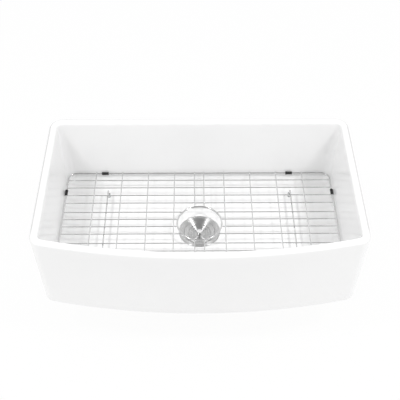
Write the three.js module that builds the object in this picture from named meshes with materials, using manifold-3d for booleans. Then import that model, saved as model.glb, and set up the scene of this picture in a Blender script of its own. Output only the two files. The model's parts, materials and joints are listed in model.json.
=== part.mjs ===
// Farmhouse apron front sink: a bow-fronted fireclay bowl, a stainless bottom grid that lifts out, and a
// basket strainer clamped through the drain hole. Millimetres, +Z up, the apron faces -Y.
// The origin is on the flat underside, on the centreline, where the sink rests on the cabinet's back rail.
import * as THREE from 'three'
import { mergeGeometries, mergeVertices } from 'three/addons/utils/BufferGeometryUtils.js'
import Module from 'manifold-3d'

// ---- Driving dimensions: the bowl ----
const SINK_WIDTH = 838
const SINK_DEPTH = 508
const SINK_HEIGHT = 254
const REST_FROM_BACK = 75 // the origin stands this far in from the back face
const BOW_RADIUS = 1820 // plan radius of the apron's bow
const SIDE_TAPER = 5.6 // each side stands this much further in at the underside than at the rim
const APRON_LEAN = 15.5 // the foot of the apron stands this far behind its top edge
const BACK_CORNER = 36
const FRONT_CORNER = 31
const FOOT_ROUND = 5
const RIM_WALL = 20
const RIM_ROUND_OUTSIDE = 7
const RIM_ROUND_INSIDE = 8
const FLOOR_THICKNESS = 28 // at the edge of the drain recess
const FLOOR_SLOPE = 0.012 // rise of the basin floor for each millimetre away from the drain
const FLOOR_FILLET = 28
const BASIN_CORNER_AT_RIM = 15
const BASIN_CORNER_AT_FLOOR = 32
const BASIN_SIDE_TAPER = 9
const BASIN_BACK_TAPER = 3
const BASIN_FRONT_LEAN = 17

// ---- Driving dimensions: the bottom grid ----
const GRID_STAND = 34.5 // height of the rail's centreline over the floor at the drain
const RAIL_RADIUS = 2.5
const WIRE_RADIUS = 1.5
const RING_WIRE_RADIUS = 2.5
const RING_RADIUS = 62.5 // to the centre of its wire
const LEG_WIRE_RADIUS = 2
const LEG_BEND = 7
const LEG_FROM_RAIL = 66 // each end of a leg wire stands this far inside the front or back rail
const COLUMNS_PER_SIDE = 4
const CENTRE_COLUMN_X = 13.5
const COLUMN_CLEAR_OF_RING = 10
const COLUMN_CLEAR_OF_RAIL = 82
const COLUMN_OVERHANG = 2 // each end of a column runs this far past the rail's centreline
const BACK_ROWS = 4
const RING_ROWS = 4
const FRONT_ROWS = 6
const RING_ROW_PITCH = 27.2
const BACK_ROW_CLEAR_OF_RING = 14.2
const FRONT_ROW_CLEAR_OF_RING = 12.2
const FOOT_RADIUS = 5
const FOOT_HEIGHT = 12
const FOOT_SOLE = 3
const BUMPER_RADIUS = 4.2
const BUMPER_LENGTH = 20
const BUMPER_TO_WALL = 1
const BACK_BUMPER_FROM_SIDE = 113 // in from the side of the rail
const BACK_BUMPER_DRIFT = -6 // both back bumpers were pushed on this far off even, to the left
const FRONT_BUMPER_FROM_SIDE = 196
const SIDE_BUMPER_TO_ROW = 0.8 // a side bumper is pushed up to the second row behind the ring

// ---- Driving dimensions: the strainer and what hangs below it ----
const DRAIN_FROM_BACK = 226.7
const DRAIN_HOLE_RADIUS = 46
const RECESS_DEPTH = 3.2
const RECESS_MARGIN = 1.5 // ring of bare recess round the flange
const PAD_DEPTH = 2 // of the flat counterbore in the underside that the gasket bears on
const PAD_MARGIN = 5 // ring of bare counterbore round the gasket
const SHEET = 1.2 // stainless sheet of the strainer body
const FLANGE_RADIUS = 57
const FLANGE_LIP = 2.9
const FLANGE_PROUD = 0.2 // top of the flange over the basin floor
const FLANGE_DISH = 2.2 // fall of the flange to the mouth
const FLANGE_FLAT_WIDTH = 7.5 // level outer part of the flange
const MOUTH_RADIUS = 44
const LEDGE_WIDTH = 2.4
const LEDGE_DEPTH = 2.2
const CUP_DEPTH = 57.2 // from the floor's level down to the stopper seat
const CUP_BOTTOM_ROUND = 9
const CUP_BOTTOM_RISE = 4.5 // from the stopper seat up to the foot of the cup's wall
const OUTLET_RADIUS = 20.2
const SEAT_WIDTH = 6
const NIPPLE_RADIUS = 23.9
const NIPPLE_LENGTH = 17
const SEAL_THICKNESS = 1.6
const SEAL_WIDTH = 5
const GASKET_RADIUS = 57
const GASKET_THICKNESS = 4
const FRICTION_WASHER_RADIUS = 55.5
const FRICTION_WASHER_THICKNESS = 1
const LOCKNUT_RADIUS = 52
const LOCKNUT_HEIGHT = 12
const LOCKNUT_LUGS = 8
const LOCKNUT_LUG_REACH = 5.5
const LOCKNUT_LUG_WIDTH = 9
const TAILPIECE_RADIUS = 19.05
const TAILPIECE_WALL = 1.2
const TAILPIECE_LENGTH = 98
const TAILPIECE_FLANGE_WIDTH = 3.6
const TAILPIECE_FLANGE_THICKNESS = 1.5
const TAIL_WASHER_THICKNESS = 2
const COUPLING_WALL = 4.2
const COUPLING_SHOULDER = 3
const COUPLING_ENGAGEMENT = 12 // length of the nipple inside the coupling nut
const COUPLING_RIBS = 6
const COUPLING_RIB_REACH = 3
const COUPLING_RIB_WIDTH = 8

// ---- Driving dimensions: the basket ----
const BASKET_SHEET = 1
const BASKET_CLEARANCE = 1.2 // between the basket's rim and the mouth
const BASKET_RIM_WIDTH = 2.6
const BASKET_RIM_HEIGHT = 1.6
const BASKET_DISH_DEPTH = 11.6
const BASKET_DISH_CURVE = 1.8 // power of the radius with which the dish rises
const BASKET_HOLE_RADIUS = 1.5
const BASKET_HOLE_RINGS = 3
const BASKET_FIRST_HOLES = 16 // holes in the innermost ring
const BASKET_MORE_HOLES = 6 // added by each ring outwards
const BASKET_HOLES_FROM = 17
const BASKET_HOLE_RING_PITCH = 7
const POST_RADIUS = 4
const POST_COLLAR = 3
const POST_COLLAR_HEIGHT = 2
const KNOB_RADIUS = 8
const KNOB_HEIGHT = 7
const KNOB_OVER_DISH = 7.5
const STOPPER_OVERLAP = 4.6 // how far the stopper covers its seat beyond the outlet
const STOPPER_HEIGHT = 7
const STOPPER_EDGE = 3
const STOPPER_NUT_RADIUS = 7
const STOPPER_NUT_HEIGHT = 4

// ---- Fits and facets ----
const GAP = 0.3 // between pieces that touch
const WELD = 1e-4
const CORNER_SEGMENTS = 8
const BOW_SEGMENTS = 20
const ROUND_SEGMENTS = 4
const TURNED_FINENESS = 1.2 // larger rounds get more facets
const WIRE_SIDES = 8
const RAIL_SIDES = 10
const RING_SEGMENTS = 40
const HOLE_SIDES = 5
const QUARTER = Math.PI / 2

// ---- Places worked out from the sizes ----
const BACK_Y = REST_FROM_BACK
const FRONT_Y = BACK_Y - SINK_DEPTH
const DRAIN_Y = BACK_Y - DRAIN_FROM_BACK
const RECESS_RADIUS = FLANGE_RADIUS + RECESS_MARGIN
const RECESS_Z = FLOOR_THICKNESS - RECESS_DEPTH
const PAD_RADIUS = GASKET_RADIUS + PAD_MARGIN
const GRID_Z = FLOOR_THICKNESS + GRID_STAND
const RAIL_TOP = GRID_Z + RAIL_RADIUS
const COLUMN_Z = RAIL_TOP + GAP + WIRE_RADIUS
const ROW_Z = COLUMN_Z - GAP - 2 * WIRE_RADIUS
const RING_Z = COLUMN_Z - GAP - WIRE_RADIUS - RING_WIRE_RADIUS
const LEG_Z = ROW_Z - WIRE_RADIUS - GAP - LEG_WIRE_RADIUS

const wasm = await Module()
wasm.setup()

// ---- Finishes ----
const fireclay = () => new THREE.MeshStandardMaterial({ color: '#f6f6f4', roughness: 0.12, metalness: 0 })
const wireSteel = () => new THREE.MeshStandardMaterial({ color: '#b9bbbc', roughness: 0.25, metalness: 1 })
const spunSteel = () => new THREE.MeshStandardMaterial({ color: '#c8cacb', roughness: 0.3, metalness: 1 })
const platedBrass = () => new THREE.MeshStandardMaterial({ color: '#c2b48a', roughness: 0.35, metalness: 1 })
const castZinc = () => new THREE.MeshStandardMaterial({ color: '#a9abac', roughness: 0.5, metalness: 1 })
const blackRubber = () => new THREE.MeshStandardMaterial({ color: '#222222', roughness: 0.8, metalness: 0 })
const clearVinyl = () => new THREE.MeshStandardMaterial({ color: '#c9ccce', roughness: 0.45, metalness: 0 })
const washerFibre = () => new THREE.MeshStandardMaterial({ color: '#8a6f4e', roughness: 0.9, metalness: 0 })
const whiteNylon = () => new THREE.MeshStandardMaterial({ color: '#e6e4dc', roughness: 0.5, metalness: 0 })

// ---- Shapes ----

// A surface through rings of the same number of points, each anticlockwise against the direction of travel.
// It closes on itself, or ends in a fan at each end.
function loft(rings, { start, end, loop = false }) {
  const count = rings[0].length
  const points = rings.flat()
  const triangles = []
  const quad = (a, b, c, d) => triangles.push(a, b, c, a, c, d)
  const steps = loop ? rings.length : rings.length - 1
  for (let ring = 0; ring < steps; ring++) {
    const here = ring * count
    const there = ((ring + 1) % rings.length) * count
    for (let i = 0; i < count; i++) {
      const next = (i + 1) % count
      quad(here + i, here + next, there + next, there + i)
    }
  }
  if (!loop) {
    const last = (rings.length - 1) * count
    points.push(start, end)
    for (let i = 0; i < count; i++) {
      const next = (i + 1) % count
      triangles.push(points.length - 2, next, i)
      triangles.push(points.length - 1, last + i, last + next)
    }
  }
  const geometry = new THREE.BufferGeometry().setFromPoints(points)
  geometry.setIndex(triangles)
  return geometry
}

// Round wire along points that lie in one plane, whose normal is given.
function wire(path, planeNormal, radius, sides, loop = false) {
  const rings = path.map((point, i) => {
    const before = path[i - 1] ?? (loop ? path.at(-1) : point)
    const after = path[i + 1] ?? (loop ? path[0] : point)
    const along = after.clone().sub(before).normalize()
    const across = planeNormal.clone().cross(along)
    return Array.from({ length: sides }, (_, side) => {
      const angle = (side / sides) * 2 * Math.PI
      const ringPoint = point.clone().addScaledVector(across, radius * Math.cos(angle))
      return ringPoint.addScaledVector(planeNormal, radius * Math.sin(angle))
    })
  })
  return loft(rings, { start: path[0], end: path.at(-1), loop })
}

// A turned solid about the Z axis from [radius, height] pairs.
function turned(profile) {
  const corners = profile.map(([radius, height]) => new THREE.Vector2(radius, height))
  if (THREE.ShapeUtils.area(corners) < 0) corners.reverse()
  const onAxis = corners.findIndex((corner, i) => corner.x === 0 && corners.at(i - 1).x === 0)
  const ordered = onAxis < 0 ? corners : [...corners.slice(onAxis), ...corners.slice(0, onAxis)]
  if (onAxis < 0) ordered.push(ordered[0])
  const largest = Math.max(...profile.map(([radius]) => radius))
  const segments = 4 * Math.round(TURNED_FINENESS * Math.sqrt(largest))
  return new THREE.LatheGeometry(ordered, segments).rotateX(QUARTER)
}

// A plain ring between two radii and two heights.
function washer(innerRadius, outerRadius, bottom, top) {
  return turned([[innerRadius, bottom], [outerRadius, bottom], [outerRadius, top], [innerRadius, top]])
}

// Points of an arc in plan, from one angle to another, with or without its two end points.
function arc(centreX, centreY, radius, from, to, segments, { first = true, last = true } = {}) {
  const points = []
  for (let i = first ? 0 : 1; i <= (last ? segments : segments - 1); i++) {
    const angle = from + ((to - from) * i) / segments
    points.push([centreX + radius * Math.cos(angle), centreY + radius * Math.sin(angle)])
  }
  return points
}

// A closed mesh as a solid that can be cut and joined, and back again.
function solid(geometry) {
  const bare = geometry.clone()
  bare.deleteAttribute('normal')
  bare.deleteAttribute('uv')
  const shared = mergeVertices(bare, WELD)
  const corners = shared.index.array
  const triVerts = []
  for (let i = 0; i < corners.length; i += 3) {
    const [a, b, c] = corners.slice(i, i + 3)
    if (a !== b && b !== c && c !== a) triVerts.push(a, b, c)
  }
  const vertProperties = shared.attributes.position.array
  return new wasm.Manifold(new wasm.Mesh({ numProp: 3, vertProperties, triVerts: new Uint32Array(triVerts) }))
}

function geometryOf(body) {
  const { vertProperties, triVerts } = body.getMesh()
  const geometry = new THREE.BufferGeometry()
  geometry.setAttribute('position', new THREE.BufferAttribute(vertProperties, 3))
  geometry.setIndex(new THREE.BufferAttribute(triVerts, 1))
  return geometry
}

// ---- Plans of the bowl and the grid ----

// Anticlockwise [x, y] points: back left corner, left side, bow, right side, back right corner.
function outline({ halfWidth, backY, frontY, bowRadius, backCorner, frontCorner }) {
  const backX = halfWidth - backCorner
  const frontX = halfWidth - frontCorner
  const bowY = frontY + bowRadius
  const frontCornerY = bowY - Math.sqrt((bowRadius - frontCorner) ** 2 - frontX ** 2)
  const bowAngle = Math.asin(frontX / (bowRadius - frontCorner))
  const down = 3 * QUARTER
  return [
    ...arc(-backX, backY - backCorner, backCorner, QUARTER, 2 * QUARTER, CORNER_SEGMENTS),
    ...arc(-frontX, frontCornerY, frontCorner, 2 * QUARTER, down - bowAngle, CORNER_SEGMENTS, { last: false }),
    ...arc(0, bowY, bowRadius, down - bowAngle, down + bowAngle, BOW_SEGMENTS),
    ...arc(frontX, frontCornerY, frontCorner, down + bowAngle, 4 * QUARTER, CORNER_SEGMENTS, { first: false }),
    ...arc(backX, backY - backCorner, backCorner, 0, QUARTER, CORNER_SEGMENTS),
  ]
}

function inset(plan, distance) {
  return {
    halfWidth: plan.halfWidth - distance,
    backY: plan.backY - distance,
    frontY: plan.frontY + distance,
    bowRadius: plan.bowRadius - distance,
    backCorner: plan.backCorner - distance,
    frontCorner: plan.frontCorner - distance,
  }
}

// The bowl's outside at a height.
function outsidePlan(z) {
  const drop = (SINK_HEIGHT - z) / SINK_HEIGHT
  return {
    halfWidth: SINK_WIDTH / 2 - SIDE_TAPER * drop,
    backY: BACK_Y,
    frontY: FRONT_Y + APRON_LEAN * drop,
    bowRadius: BOW_RADIUS,
    backCorner: BACK_CORNER,
    frontCorner: FRONT_CORNER,
  }
}

// The basin's walls at a height.
function basinPlan(z) {
  const drop = (SINK_HEIGHT - z) / (SINK_HEIGHT - FLOOR_THICKNESS)
  const corner = THREE.MathUtils.lerp(BASIN_CORNER_AT_RIM, BASIN_CORNER_AT_FLOOR, drop)
  return {
    halfWidth: SINK_WIDTH / 2 - RIM_WALL - BASIN_SIDE_TAPER * drop,
    backY: BACK_Y - RIM_WALL - BASIN_BACK_TAPER * drop,
    frontY: FRONT_Y + RIM_WALL + BASIN_FRONT_LEAN * drop,
    bowRadius: BOW_RADIUS - RIM_WALL,
    backCorner: corner,
    frontCorner: corner,
  }
}

// The rail's centreline: the bumpers on it all but touch the basin's walls.
const RAIL_PLAN = inset(basinPlan(GRID_Z), BUMPER_RADIUS + BUMPER_TO_WALL)

function floorHeight(x, y) {
  return FLOOR_THICKNESS + FLOOR_SLOPE * (Math.hypot(x, y - DRAIN_Y) - RECESS_RADIUS)
}

// Where a plan's outline crosses a line of constant y, on the right-hand side.
function crossingX(plan, y) {
  const corners = outline(plan)
  for (let i = 0; i < corners.length; i++) {
    const [x1, y1] = corners[i]
    const [x2, y2] = corners[(i + 1) % corners.length]
    const rising = y1 <= y && y < y2
    if (rising && x1 > 0) return x1 + ((x2 - x1) * (y - y1)) / (y2 - y1)
  }
  throw new Error(`No crossing at y = ${y}`)
}

// The front of a plan at a distance from the centreline, on its bow.
function bowY(plan, x) {
  return plan.frontY + plan.bowRadius - Math.sqrt(plan.bowRadius ** 2 - x ** 2)
}

// ---- The bowl ----

// Rings of the bowl from the underside, up the outside, over the rim and down to the basin floor.
function bowlRings() {
  const level = (plan, z) => outline(plan).map(([x, y]) => new THREE.Vector3(x, y, z))
  const overFloor = (plan, rise) =>
    outline(plan).map(([x, y]) => new THREE.Vector3(x, y, floorHeight(x, y) + rise))
  const turn = (i) => (QUARTER * i) / ROUND_SEGMENTS
  const rings = []
  for (let i = 0; i <= ROUND_SEGMENTS; i++) {
    const z = FOOT_ROUND * (1 - Math.cos(turn(i)))
    rings.push(level(inset(outsidePlan(z), FOOT_ROUND * (1 - Math.sin(turn(i)))), z))
  }
  for (let i = 0; i <= ROUND_SEGMENTS; i++) {
    const z = SINK_HEIGHT - RIM_ROUND_OUTSIDE * (1 - Math.sin(turn(i)))
    rings.push(level(inset(outsidePlan(z), RIM_ROUND_OUTSIDE * (1 - Math.cos(turn(i)))), z))
  }
  for (let i = ROUND_SEGMENTS; i >= 0; i--) {
    const z = SINK_HEIGHT - RIM_ROUND_INSIDE * (1 - Math.sin(turn(i)))
    rings.push(level(inset(basinPlan(z), -RIM_ROUND_INSIDE * (1 - Math.cos(turn(i)))), z))
  }
  const filletPlan = basinPlan(FLOOR_THICKNESS + FLOOR_FILLET)
  for (let i = 0; i <= ROUND_SEGMENTS; i++) {
    const rise = FLOOR_FILLET * (1 - Math.sin(turn(i)))
    rings.push(overFloor(inset(filletPlan, FLOOR_FILLET * (1 - Math.cos(turn(i)))), rise))
  }
  return rings
}

function bowl() {
  const start = new THREE.Vector3(0, (BACK_Y + FRONT_Y) / 2, 0)
  const end = new THREE.Vector3(0, DRAIN_Y, floorHeight(0, DRAIN_Y))
  const blank = solid(loft(bowlRings(), { start, end }))
  const beyond = SINK_HEIGHT / 10
  const drainCut = turned([
    [0, -beyond],
    [PAD_RADIUS, -beyond],
    [PAD_RADIUS, PAD_DEPTH],
    [DRAIN_HOLE_RADIUS, PAD_DEPTH],
    [DRAIN_HOLE_RADIUS, RECESS_Z],
    [RECESS_RADIUS, RECESS_Z],
    [RECESS_RADIUS, FLOOR_THICKNESS + beyond],
    [0, FLOOR_THICKNESS + beyond],
  ]).translate(0, DRAIN_Y, 0)
  return geometryOf(blank.subtract(solid(drainCut)))
}

// ---- The strainer body and the pieces clamped to it ----
const FLANGE_TOP = FLOOR_THICKNESS + FLANGE_PROUD
const FLANGE_FLAT_RADIUS = FLANGE_RADIUS - FLANGE_FLAT_WIDTH
const MOUTH_TOP = FLANGE_TOP - FLANGE_DISH
const LEDGE_Z = MOUTH_TOP - LEDGE_DEPTH
const CUP_RADIUS = MOUTH_RADIUS - LEDGE_WIDTH
const CUP_OUTSIDE = CUP_RADIUS + SHEET
const SEAT_Z = FLOOR_THICKNESS - CUP_DEPTH
const SEAT_RADIUS = OUTLET_RADIUS + SEAT_WIDTH
const NIPPLE_TOP = SEAT_Z - SHEET - GAP
const NIPPLE_BOTTOM = NIPPLE_TOP - NIPPLE_LENGTH
const CLAMPED_BORE = CUP_OUTSIDE + GAP

// Rounded corner of the cup at its bottom, between the wall and the sloping floor, in [radius, height].
function cupBottom(wallRadius, seatZ, round) {
  const slopeTop = seatZ + CUP_BOTTOM_RISE
  return arc(wallRadius - round, slopeTop + round, round, 0, -QUARTER, ROUND_SEGMENTS)
}

function strainerBody() {
  return turned([
    [FLANGE_RADIUS, FLANGE_TOP - FLANGE_LIP],
    [FLANGE_RADIUS, FLANGE_TOP - SHEET / 2],
    [FLANGE_RADIUS - SHEET / 2, FLANGE_TOP],
    [FLANGE_FLAT_RADIUS, FLANGE_TOP],
    [MOUTH_RADIUS + SHEET / 2, MOUTH_TOP + SHEET / 4],
    [MOUTH_RADIUS, MOUTH_TOP - SHEET / 4],
    [MOUTH_RADIUS, LEDGE_Z],
    [CUP_RADIUS + SHEET / 3, LEDGE_Z],
    [CUP_RADIUS, LEDGE_Z - SHEET / 3],
    ...cupBottom(CUP_RADIUS, SEAT_Z, CUP_BOTTOM_ROUND),
    [SEAT_RADIUS, SEAT_Z],
    [OUTLET_RADIUS, SEAT_Z],
    [OUTLET_RADIUS, SEAT_Z - SHEET],
    [SEAT_RADIUS, SEAT_Z - SHEET],
    ...cupBottom(CUP_OUTSIDE, SEAT_Z - SHEET, CUP_BOTTOM_ROUND + SHEET).reverse(),
    [CUP_OUTSIDE, LEDGE_Z - SHEET],
    [MOUTH_RADIUS + SHEET, LEDGE_Z - SHEET],
    [MOUTH_RADIUS + SHEET, MOUTH_TOP - SHEET],
    [FLANGE_FLAT_RADIUS, FLANGE_TOP - SHEET],
    [FLANGE_RADIUS - SHEET, FLANGE_TOP - SHEET],
    [FLANGE_RADIUS - SHEET, FLANGE_TOP - FLANGE_LIP],
  ])
}

function flangeSeal() {
  const outer = FLANGE_RADIUS - SHEET - GAP
  return washer(outer - SEAL_WIDTH, outer, RECESS_Z + GAP, RECESS_Z + GAP + SEAL_THICKNESS)
}

function nutRing(bore, outer, bottom, top, { ribs, reach, width }) {
  let nut = solid(washer(bore, outer, bottom, top))
  const overlap = (outer - bore) / 2
  for (let rib = 0; rib < ribs; rib++) {
    const block = new THREE.BoxGeometry(reach + overlap, width, top - bottom)
    block.translate(outer + (reach - overlap) / 2, 0, (top + bottom) / 2)
    block.rotateZ((rib / ribs) * 2 * Math.PI)
    nut = nut.add(solid(block))
  }
  return nut
}

const GASKET_TOP = PAD_DEPTH - GAP
const GASKET_BOTTOM = GASKET_TOP - GASKET_THICKNESS
const FRICTION_BOTTOM = GASKET_BOTTOM - GAP - FRICTION_WASHER_THICKNESS
const LOCKNUT_TOP = FRICTION_BOTTOM - GAP

function locknut() {
  const lugs = { ribs: LOCKNUT_LUGS, reach: LOCKNUT_LUG_REACH, width: LOCKNUT_LUG_WIDTH }
  return geometryOf(nutRing(CLAMPED_BORE, LOCKNUT_RADIUS, LOCKNUT_TOP - LOCKNUT_HEIGHT, LOCKNUT_TOP, lugs))
}

const TAIL_WASHER_BOTTOM = NIPPLE_BOTTOM - GAP - TAIL_WASHER_THICKNESS
const TAILPIECE_TOP = TAIL_WASHER_BOTTOM - GAP
const SHOULDER_TOP = TAILPIECE_TOP - TAILPIECE_FLANGE_THICKNESS - GAP
const COUPLING_BORE = NIPPLE_RADIUS + GAP

function tailpiece() {
  const inside = TAILPIECE_RADIUS - TAILPIECE_WALL
  const flange = TAILPIECE_RADIUS + TAILPIECE_FLANGE_WIDTH
  return turned([
    [inside, TAILPIECE_TOP - TAILPIECE_LENGTH],
    [TAILPIECE_RADIUS, TAILPIECE_TOP - TAILPIECE_LENGTH],
    [TAILPIECE_RADIUS, TAILPIECE_TOP - TAILPIECE_FLANGE_THICKNESS],
    [flange, TAILPIECE_TOP - TAILPIECE_FLANGE_THICKNESS],
    [flange, TAILPIECE_TOP],
    [inside, TAILPIECE_TOP],
  ])
}

function couplingNut() {
  const outer = COUPLING_BORE + COUPLING_WALL
  const bottom = SHOULDER_TOP - COUPLING_SHOULDER
  const top = NIPPLE_BOTTOM + COUPLING_ENGAGEMENT
  const ribs = { ribs: COUPLING_RIBS, reach: COUPLING_RIB_REACH, width: COUPLING_RIB_WIDTH }
  const shoulder = solid(washer(TAILPIECE_RADIUS + GAP, outer, bottom, SHOULDER_TOP))
  return geometryOf(nutRing(COUPLING_BORE, outer, bottom, top, ribs).add(shoulder))
}

// ---- The basket ----
const BASKET_RADIUS = MOUTH_RADIUS - BASKET_CLEARANCE
const BASKET_BOTTOM = LEDGE_Z + GAP
const BASKET_TOP = BASKET_BOTTOM + BASKET_RIM_HEIGHT
const DISH_RADIUS = BASKET_RADIUS - BASKET_RIM_WIDTH
const POST_BORE = POST_RADIUS + GAP
const DISH_FLOOR = BASKET_TOP - BASKET_DISH_DEPTH
const STOPPER_BOTTOM = SEAT_Z + GAP
const STOPPER_TOP = STOPPER_BOTTOM + STOPPER_HEIGHT
const STOPPER_RADIUS = OUTLET_RADIUS + STOPPER_OVERLAP

// Height of the dish's upper face: flat in the middle and steeper towards the rim.
function dishHeight(radius) {
  const share = (radius - POST_BORE) / (DISH_RADIUS - POST_BORE)
  return DISH_FLOOR + BASKET_DISH_DEPTH * share ** BASKET_DISH_CURVE
}

function basketDish() {
  const steps = 6
  const radii = Array.from({ length: steps + 1 }, (_, i) => POST_BORE + ((DISH_RADIUS - POST_BORE) * i) / steps)
  const above = radii.map((radius) => [radius, dishHeight(radius)])
  const below = radii.map((radius) => [radius, dishHeight(radius) - BASKET_SHEET])
  const dish = turned([
    ...below.slice(0, -1),
    [DISH_RADIUS + BASKET_SHEET / 2, BASKET_BOTTOM],
    [BASKET_RADIUS, BASKET_BOTTOM],
    [BASKET_RADIUS, BASKET_TOP - BASKET_SHEET / 2],
    [BASKET_RADIUS - BASKET_SHEET / 2, BASKET_TOP],
    ...above.reverse(),
  ])
  const holes = []
  for (let ring = 0; ring < BASKET_HOLE_RINGS; ring++) {
    const count = BASKET_FIRST_HOLES + BASKET_MORE_HOLES * ring
    const ringRadius = BASKET_HOLES_FROM + BASKET_HOLE_RING_PITCH * ring
    for (let i = 0; i < count; i++) {
      const angle = ((i + ring / 2) / count) * 2 * Math.PI
      const drill = new THREE.CylinderGeometry(
        BASKET_HOLE_RADIUS, BASKET_HOLE_RADIUS, 2 * BASKET_DISH_DEPTH, HOLE_SIDES)
      drill.rotateX(QUARTER)
      drill.translate(ringRadius * Math.cos(angle), ringRadius * Math.sin(angle), dishHeight(ringRadius))
      holes.push(drill)
    }
  }
  return geometryOf(solid(dish).subtract(solid(mergeGeometries(holes))))
}

const COLLAR_BOTTOM = DISH_FLOOR + GAP
const KNOB_BOTTOM = DISH_FLOOR + KNOB_OVER_DISH
const NUT_TOP = STOPPER_BOTTOM - GAP

function basketPost() {
  const collar = POST_RADIUS + POST_COLLAR
  return turned([
    [0, NUT_TOP - STOPPER_NUT_HEIGHT],
    [POST_RADIUS, NUT_TOP - STOPPER_NUT_HEIGHT],
    [POST_RADIUS, STOPPER_TOP + GAP],
    [collar, STOPPER_TOP + GAP],
    [collar, STOPPER_TOP + GAP + POST_COLLAR_HEIGHT],
    [POST_RADIUS, STOPPER_TOP + GAP + POST_COLLAR_HEIGHT],
    [POST_RADIUS, COLLAR_BOTTOM],
    [collar, COLLAR_BOTTOM],
    [collar, COLLAR_BOTTOM + POST_COLLAR_HEIGHT],
    [POST_RADIUS, COLLAR_BOTTOM + POST_COLLAR_HEIGHT],
    [POST_RADIUS, KNOB_BOTTOM + KNOB_HEIGHT / 2],
    [0, KNOB_BOTTOM + KNOB_HEIGHT / 2],
  ])
}

function basketKnob() {
  const top = KNOB_BOTTOM + KNOB_HEIGHT
  const socketTop = KNOB_BOTTOM + KNOB_HEIGHT / 2 + GAP
  const edge = KNOB_HEIGHT / 4
  return turned([
    [POST_BORE, KNOB_BOTTOM],
    [KNOB_RADIUS - edge, KNOB_BOTTOM],
    [KNOB_RADIUS, KNOB_BOTTOM + edge],
    [KNOB_RADIUS, top - edge],
    [KNOB_RADIUS - edge, top],
    [0, top],
    [0, socketTop],
    [POST_BORE, socketTop],
  ])
}

function basketStopper() {
  return turned([
    [POST_BORE, STOPPER_BOTTOM],
    [STOPPER_RADIUS - STOPPER_EDGE / 2, STOPPER_BOTTOM],
    [STOPPER_RADIUS, STOPPER_BOTTOM + STOPPER_EDGE / 2],
    [STOPPER_RADIUS, STOPPER_BOTTOM + STOPPER_EDGE],
    [POST_RADIUS + 2 * POST_COLLAR, STOPPER_TOP],
    [POST_BORE, STOPPER_TOP],
  ])
}

// ---- The assembly ----
const sink = new THREE.Group()
const drain = new THREE.Group()
const basket = new THREE.Group()
const grid = new THREE.Group()
drain.position.y = DRAIN_Y
basket.position.y = DRAIN_Y
sink.add(drain, basket, grid)

function place(group, name, geometry, material) {
  const mesh = new THREE.Mesh(geometry, material)
  mesh.name = name
  group.add(mesh)
  return mesh
}

function placeRod(name, from, to, radius) {
  const along = to.clone().sub(from)
  const geometry = new THREE.CylinderGeometry(radius, radius, along.length(), WIRE_SIDES)
  const rod = place(grid, name, geometry, wireSteel())
  rod.position.copy(from).addScaledVector(along, 0.5)
  rod.quaternion.setFromUnitVectors(new THREE.Vector3(0, 1, 0), along.normalize())
}

place(sink, 'sink_bowl', bowl(), fireclay())

place(drain, 'strainer_body', strainerBody(), spunSteel())
place(drain, 'flange_seal', flangeSeal(), blackRubber())
place(drain, 'outlet_nipple', washer(OUTLET_RADIUS, NIPPLE_RADIUS, NIPPLE_BOTTOM, NIPPLE_TOP), platedBrass())
place(drain, 'sink_gasket', washer(CLAMPED_BORE, GASKET_RADIUS, GASKET_BOTTOM, GASKET_TOP), blackRubber())
place(drain, 'friction_washer', washer(
  CLAMPED_BORE, FRICTION_WASHER_RADIUS, FRICTION_BOTTOM, GASKET_BOTTOM - GAP), washerFibre())
place(drain, 'locknut', locknut(), castZinc())
place(drain, 'tailpiece_washer', washer(
  OUTLET_RADIUS, NIPPLE_RADIUS, TAIL_WASHER_BOTTOM, NIPPLE_BOTTOM - GAP), whiteNylon())
place(drain, 'coupling_nut', couplingNut(), castZinc())
place(drain, 'tailpiece', tailpiece(), spunSteel())

place(basket, 'basket_dish', basketDish(), spunSteel())
place(basket, 'basket_post', basketPost(), spunSteel())
place(basket, 'basket_knob', basketKnob(), spunSteel())
place(basket, 'basket_stopper', basketStopper(), blackRubber())
place(basket, 'stopper_nut', washer(
  POST_BORE, STOPPER_NUT_RADIUS, NUT_TOP - STOPPER_NUT_HEIGHT, NUT_TOP), platedBrass())

// The rail and the ring
const UP = new THREE.Vector3(0, 0, 1)
const railPath = outline(RAIL_PLAN).map(([x, y]) => new THREE.Vector3(x, y, GRID_Z))
place(grid, 'grid_rail', wire(railPath, UP, RAIL_RADIUS, RAIL_SIDES, true), wireSteel())
const ringGeometry = new THREE.TorusGeometry(RING_RADIUS, RING_WIRE_RADIUS, RAIL_SIDES, RING_SEGMENTS)
place(grid, 'grid_ring', ringGeometry, wireSteel()).position.set(0, DRAIN_Y, RING_Z)

// Columns lie on the rail and the ring
const FIRST_COLUMN_X = RING_RADIUS + COLUMN_CLEAR_OF_RING
const LAST_COLUMN_X = RAIL_PLAN.halfWidth - COLUMN_CLEAR_OF_RAIL
const columnBackY = RAIL_PLAN.backY + COLUMN_OVERHANG
const columnX = (i) => THREE.MathUtils.lerp(FIRST_COLUMN_X, LAST_COLUMN_X, i / (COLUMNS_PER_SIDE - 1))
const onRing = Math.sqrt(RING_RADIUS ** 2 - CENTRE_COLUMN_X ** 2)
for (const [side, sign] of [['left', -1], ['right', 1]]) {
  const column = (name, x, backY, frontY) => {
    const back = new THREE.Vector3(sign * x, backY, COLUMN_Z)
    const front = new THREE.Vector3(sign * x, frontY, COLUMN_Z)
    placeRod(`grid_column_${side}_${name}`, back, front, WIRE_RADIUS)
  }
  for (let i = 0; i < COLUMNS_PER_SIDE; i++) {
    column(i + 1, columnX(i), columnBackY, bowY(RAIL_PLAN, columnX(i)) - COLUMN_OVERHANG)
  }
  column('centre_back', CENTRE_COLUMN_X, columnBackY, DRAIN_Y + onRing)
  column('centre_front', CENTRE_COLUMN_X, DRAIN_Y - onRing, bowY(RAIL_PLAN, CENTRE_COLUMN_X) - COLUMN_OVERHANG)
}

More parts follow.
